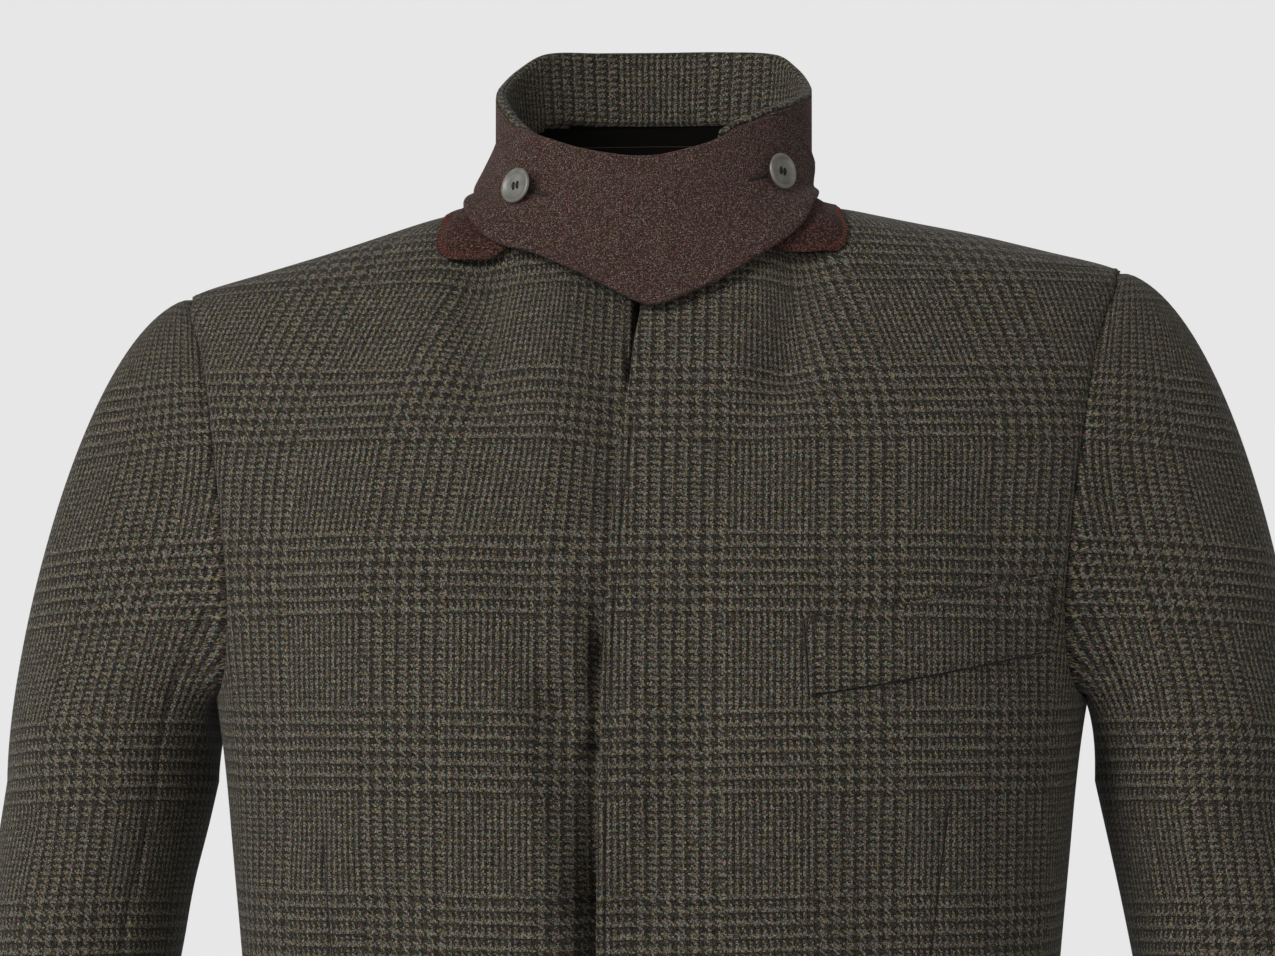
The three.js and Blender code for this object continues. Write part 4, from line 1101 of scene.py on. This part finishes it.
latch_degrees = np.linspace(-82, 78, 220)
top = read(LATCH_TOP, "angle", "z", latch_degrees)
base = read(LATCH_BASE, "angle", "z", latch_degrees)
heights = mix(base, top, np.linspace(0, 1, 48)[:, None])
angles = np.broadcast_to(latch_degrees * DEGREE, heights.shape)
outer, inner = on_latch(angles, heights, 0), latch_point(angles, heights)
across, climb = unrolled(outer, 20)
uv = np.stack([across, climb + base], -1)
latch = shell("throat_latch_felt", outer, inner, uv, melton, swell=(0.8, 0.5, 0.8, 0.5))
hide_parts("throat_tab")

# a worked buttonhole runs from under each button towards the throat: a slit, stitched over
BUTTONHOLE = (5.0, 13.2)  # its ends, from the button's middle
BUTTONHOLE_FALL = 0.3  # how much it drops towards the throat
BUTTONHOLE_REACH = 1.2
LATCH_BUTTONS = (  # name, angle, height, tilt about the upright and spin
    ("throat_button_right", -46.7, 7.0, -10, 0.15),
    ("throat_button_left", 50.2, 14.5, 10, -0.2),
)
slits, whips = [], []
for _, degrees, height, _, _ in LATCH_BUTTONS:
    def beside(along, aside, lift):
        turn = (along - BUTTONHOLE_FALL * aside) / tube_radius(degrees * DEGREE)
        z = height - BUTTONHOLE_FALL * along + aside
        return on_latch(degrees * DEGREE - np.sign(degrees) * turn, z, lift)
    run = np.linspace(*BUTTONHOLE, 24)
    slits.append(beside(run, 0 * run, 0.1))
    run = np.arange(BUTTONHOLE[0], BUTTONHOLE[1] + 0.4, 0.3)
    edges = np.where(np.arange(len(run)) % 2, 1, -1)
    whips.append(beside(run, BUTTONHOLE_REACH * edges, 0.05))
thread_tube("buttonhole_slits", slits, 0.6, dark_thread)
thread_tube("buttonhole_stitches", whips, 0.22, brown_thread)

# ======== Breast welt ========
# A welt of the same tweed over the breast pocket, cut on the check, seamed along its foot and
# its ends, and open at the top.
WELT_X = (83, 197)
WELT_HEIGHT = 35
WELT_Z = -240
WELT_RISE = 0.145  # at its inner end, rising a little more steeply outward
WELT_CURVE = 0.00045
WELT_SLANT = -2.5
WELT_WALL = 1.6
WELT_LIFT = 0.7
WELT_CHECK = (1.2, 1.5)  # how far its check is off the front's


def welt_z(x, row):
    """Height on the welt, row 0 at its foot and 1 at its top."""
    out = x - WELT_X[0]
    return WELT_Z + out * (WELT_RISE + WELT_CURVE * out) + WELT_HEIGHT * row


row = np.linspace(0, 1, 20)[:, None]
x = np.linspace(*WELT_X, 60) + WELT_SLANT * row
heights = welt_z(x, row)
angles = angle_at(x, heights)
n = surface_normal(cloth_point, angles, heights)
seat = cloth_point(angles, heights)
bulk = (0.9 + 0.1 * ease(row, 0, 0.1) + 0 * x)[..., None]
outer = seat + n * (WELT_LIFT + WELT_WALL) * bulk
u = WELT_X[0] + running(steps(seat, 1), 1) + WELT_SLANT * row - WARP_START[1]
uv = np.stack([u + WELT_CHECK[0], heights - CHEST_Z + WELT_CHECK[1]], -1)
inner = seat + n * WELT_LIFT
welt = shell("chest_welt_cloth", outer, inner, uv, tweed, swell=(0.5, 0.5, 0.7, 0.5))
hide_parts("chest_welt")

end_row = np.linspace(1, 0, 14)
foot_x = np.linspace(*WELT_X, 44)
top_x = (foot_x + WELT_SLANT)[8:]
welt_lines = []
for x, z in (
    (WELT_X[0] + WELT_SLANT * end_row - 0.9, welt_z(WELT_X[0] + 0 * end_row, end_row)),
    (foot_x, welt_z(foot_x, 0) - 0.9),
    (top_x, welt_z(top_x, 1) + 0.7),
):
    welt_lines.append(on_front(1, angle_at(x, z), z, -0.1))
thread_tube("welt_seam_thread", welt_lines[:2], 0.42, dark_thread)
thread_tube("welt_edge_shadow_thread", welt_lines[2:], 0.25, dark_thread)

# ======== Buttons ========
# Dished four-hole buttons of grey mottled horn, polished but worn to a satin, sewn on with dark
# thread that runs in two bars between the holes.
horn, tree = new_material("grey_buffalo_horn")
mottle = {"Vector": add(tree, "TexCoord").outputs["Object"], "Scale": 180.0, "Detail": 4.0}
mottle = add(tree, "TexNoise", mottle)
colour = add(tree, "ValToRGB", {0: mottle}, ((0.3, "#55534d"), (0.5, "#63615a"), (0.7, "#716f67")))
rough = add(tree, "MapRange", {"Value": mottle, "To Min": 0.32, "To Max": 0.5})
finish_material(tree, {"Base Color": colour, "Roughness": rough, "IOR": 1.54})

BUTTON_PROFILE = (  # radius and height as shares of the radius, from the back to the dish
    (0.0, 0.2), (0.9, 0.22), (0.97, 0.25), (1.0, 0.32), (0.985, 0.38),
    (0.94, 0.42), (0.86, 0.43), (0.79, 0.415), (0.72, 0.36), (0.64, 0.335), (0.0, 0.325),
)
BUTTON_SIDES = 64
HOLE_SIDES = 20
HOLE_PLACE = 0.2
HOLE_RADIUS = 0.095
HOLES = [(HOLE_PLACE * cos(k * pi / 4), HOLE_PLACE * sin(k * pi / 4)) for k in (1, 3, 5, 7)]
THREAD_BARS = ((0, 3), (1, 2))  # the holes that each bar joins
LATCH_BUTTON_SIZE = 17.8
LATCH_BUTTON_LIFT = 1.4
LATCH_BUTTON_LEVEL = 0.45  # how much of the slope under it a button keeps
FRONT_BUTTON_SIZE = 20
FRONT_BUTTON_Z = (-400, -495, -590)
FRONT_BUTTON_LIFT = 0.6


def make_button(name, node, diameter, seat, normal, spin):
    """Turns a button, drills its holes, seats it along the normal and sews it on."""
    radius = diameter / 2
    turn = 2 * pi * np.arange(BUTTON_SIDES) / BUTTON_SIDES
    points = [
        np.stack([r * np.cos(turn), r * np.sin(turn), h + 0 * turn], -1)
        for r, h in np.array(BUTTON_PROFILE) * radius
    ]
    near = np.arange(BUTTON_SIDES)
    band = [near, np.roll(near, -1), np.roll(near, -1) + BUTTON_SIDES, near + BUTTON_SIDES]
    faces = [np.stack(band, -1) + i * BUTTON_SIDES for i in range(len(BUTTON_PROFILE) - 1)]
    made = mesh_object(name, np.concatenate(points), np.concatenate(faces).tolist(), horn)
    merge = made.modifiers.new("merge", "WELD")
    merge.merge_threshold = 0.00001
    points, faces = [], []
    turn = 2 * pi * np.arange(HOLE_SIDES) / HOLE_SIDES
    for x, y in HOLES:
        near = len(faces) // (HOLE_SIDES + 2) * 2 * HOLE_SIDES + np.arange(HOLE_SIDES)
        far = near + HOLE_SIDES
        for height in (0.0, 0.6):
            rim_x, rim_y = x + HOLE_RADIUS * np.cos(turn), y + HOLE_RADIUS * np.sin(turn)
            points.append(np.stack([rim_x, rim_y, height + 0 * turn], -1) * radius)
        faces += [near[::-1].tolist(), far.tolist()]
        faces += np.stack([near, np.roll(near, -1), np.roll(far, -1), far], -1).tolist()
    drill = mesh_object("drill", np.concatenate(points), faces)
    cut = made.modifiers.new("holes", "BOOLEAN")
    cut.operation, cut.solver, cut.object = "DIFFERENCE", "EXACT", drill
    graph = bpy.context.evaluated_depsgraph_get()
    drilled = bpy.data.meshes.new_from_object(made.evaluated_get(graph))
    made.modifiers.clear()
    made.data = drilled
    bpy.data.objects.remove(drill)
    drilled.shade_smooth()
    drilled.set_sharp_from_angle(angle=radians(35))
    facing = Vector(normal).to_track_quat("Z", "Y").to_matrix().to_4x4()
    whole = Matrix.Translation(Vector(seat) / 1000) @ facing @ Matrix.Rotation(spin, 4, "Z")
    drilled.transform(whole)
    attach(made, "root")
    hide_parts(node)

    def sewn(x, y, height):
        return whole @ (Vector((x, y, height)) * radius / 1000) * 1000

    paths = [[sewn(x, y, height) for height in (0.0, 0.2, 0.34)] for x, y in HOLES]
    for a, b in THREAD_BARS:
        for shift in (-0.05, 0.0, 0.05):
            line = []
            for t in np.linspace(0, 1, 9):
                x, y = mix(np.array(HOLES[a]), np.array(HOLES[b]), t)
                line.append(sewn(x + shift, y, 0.30 + 0.08 * (1 - abs(2 * t - 1) ** 3)))
            paths.append(line)
    thread_tube(name + "_thread", paths, 0.33, dark_thread)


for name, degrees, height, tilt, spin in LATCH_BUTTONS:
    angle, height = np.array(degrees * DEGREE), np.array(height)
    seat = on_latch(angle, height, LATCH_BUTTON_LIFT)
    n = surface_normal(latch_point, angle, height, *COLLAR_STEPS)
    n = Matrix.Rotation(tilt * DEGREE, 3, "Z") @ Vector(n)
    n.z *= LATCH_BUTTON_LEVEL
    make_button(name + "_horn", name, LATCH_BUTTON_SIZE, seat, n, spin)
for number, z in enumerate(FRONT_BUTTON_Z, 1):
    angle, height = np.array(0.0), np.array(float(z))
    n = surface_normal(cloth_point, angle, height, ANGLE_STEP * 4, Z_STEP * 4)
    seat = cloth_point(angle, height) + n * FRONT_BUTTON_LIFT
    name = f"front_button_{number}"
    make_button(name + "_horn", name, FRONT_BUTTON_SIZE, seat, n, 0.1 * number)
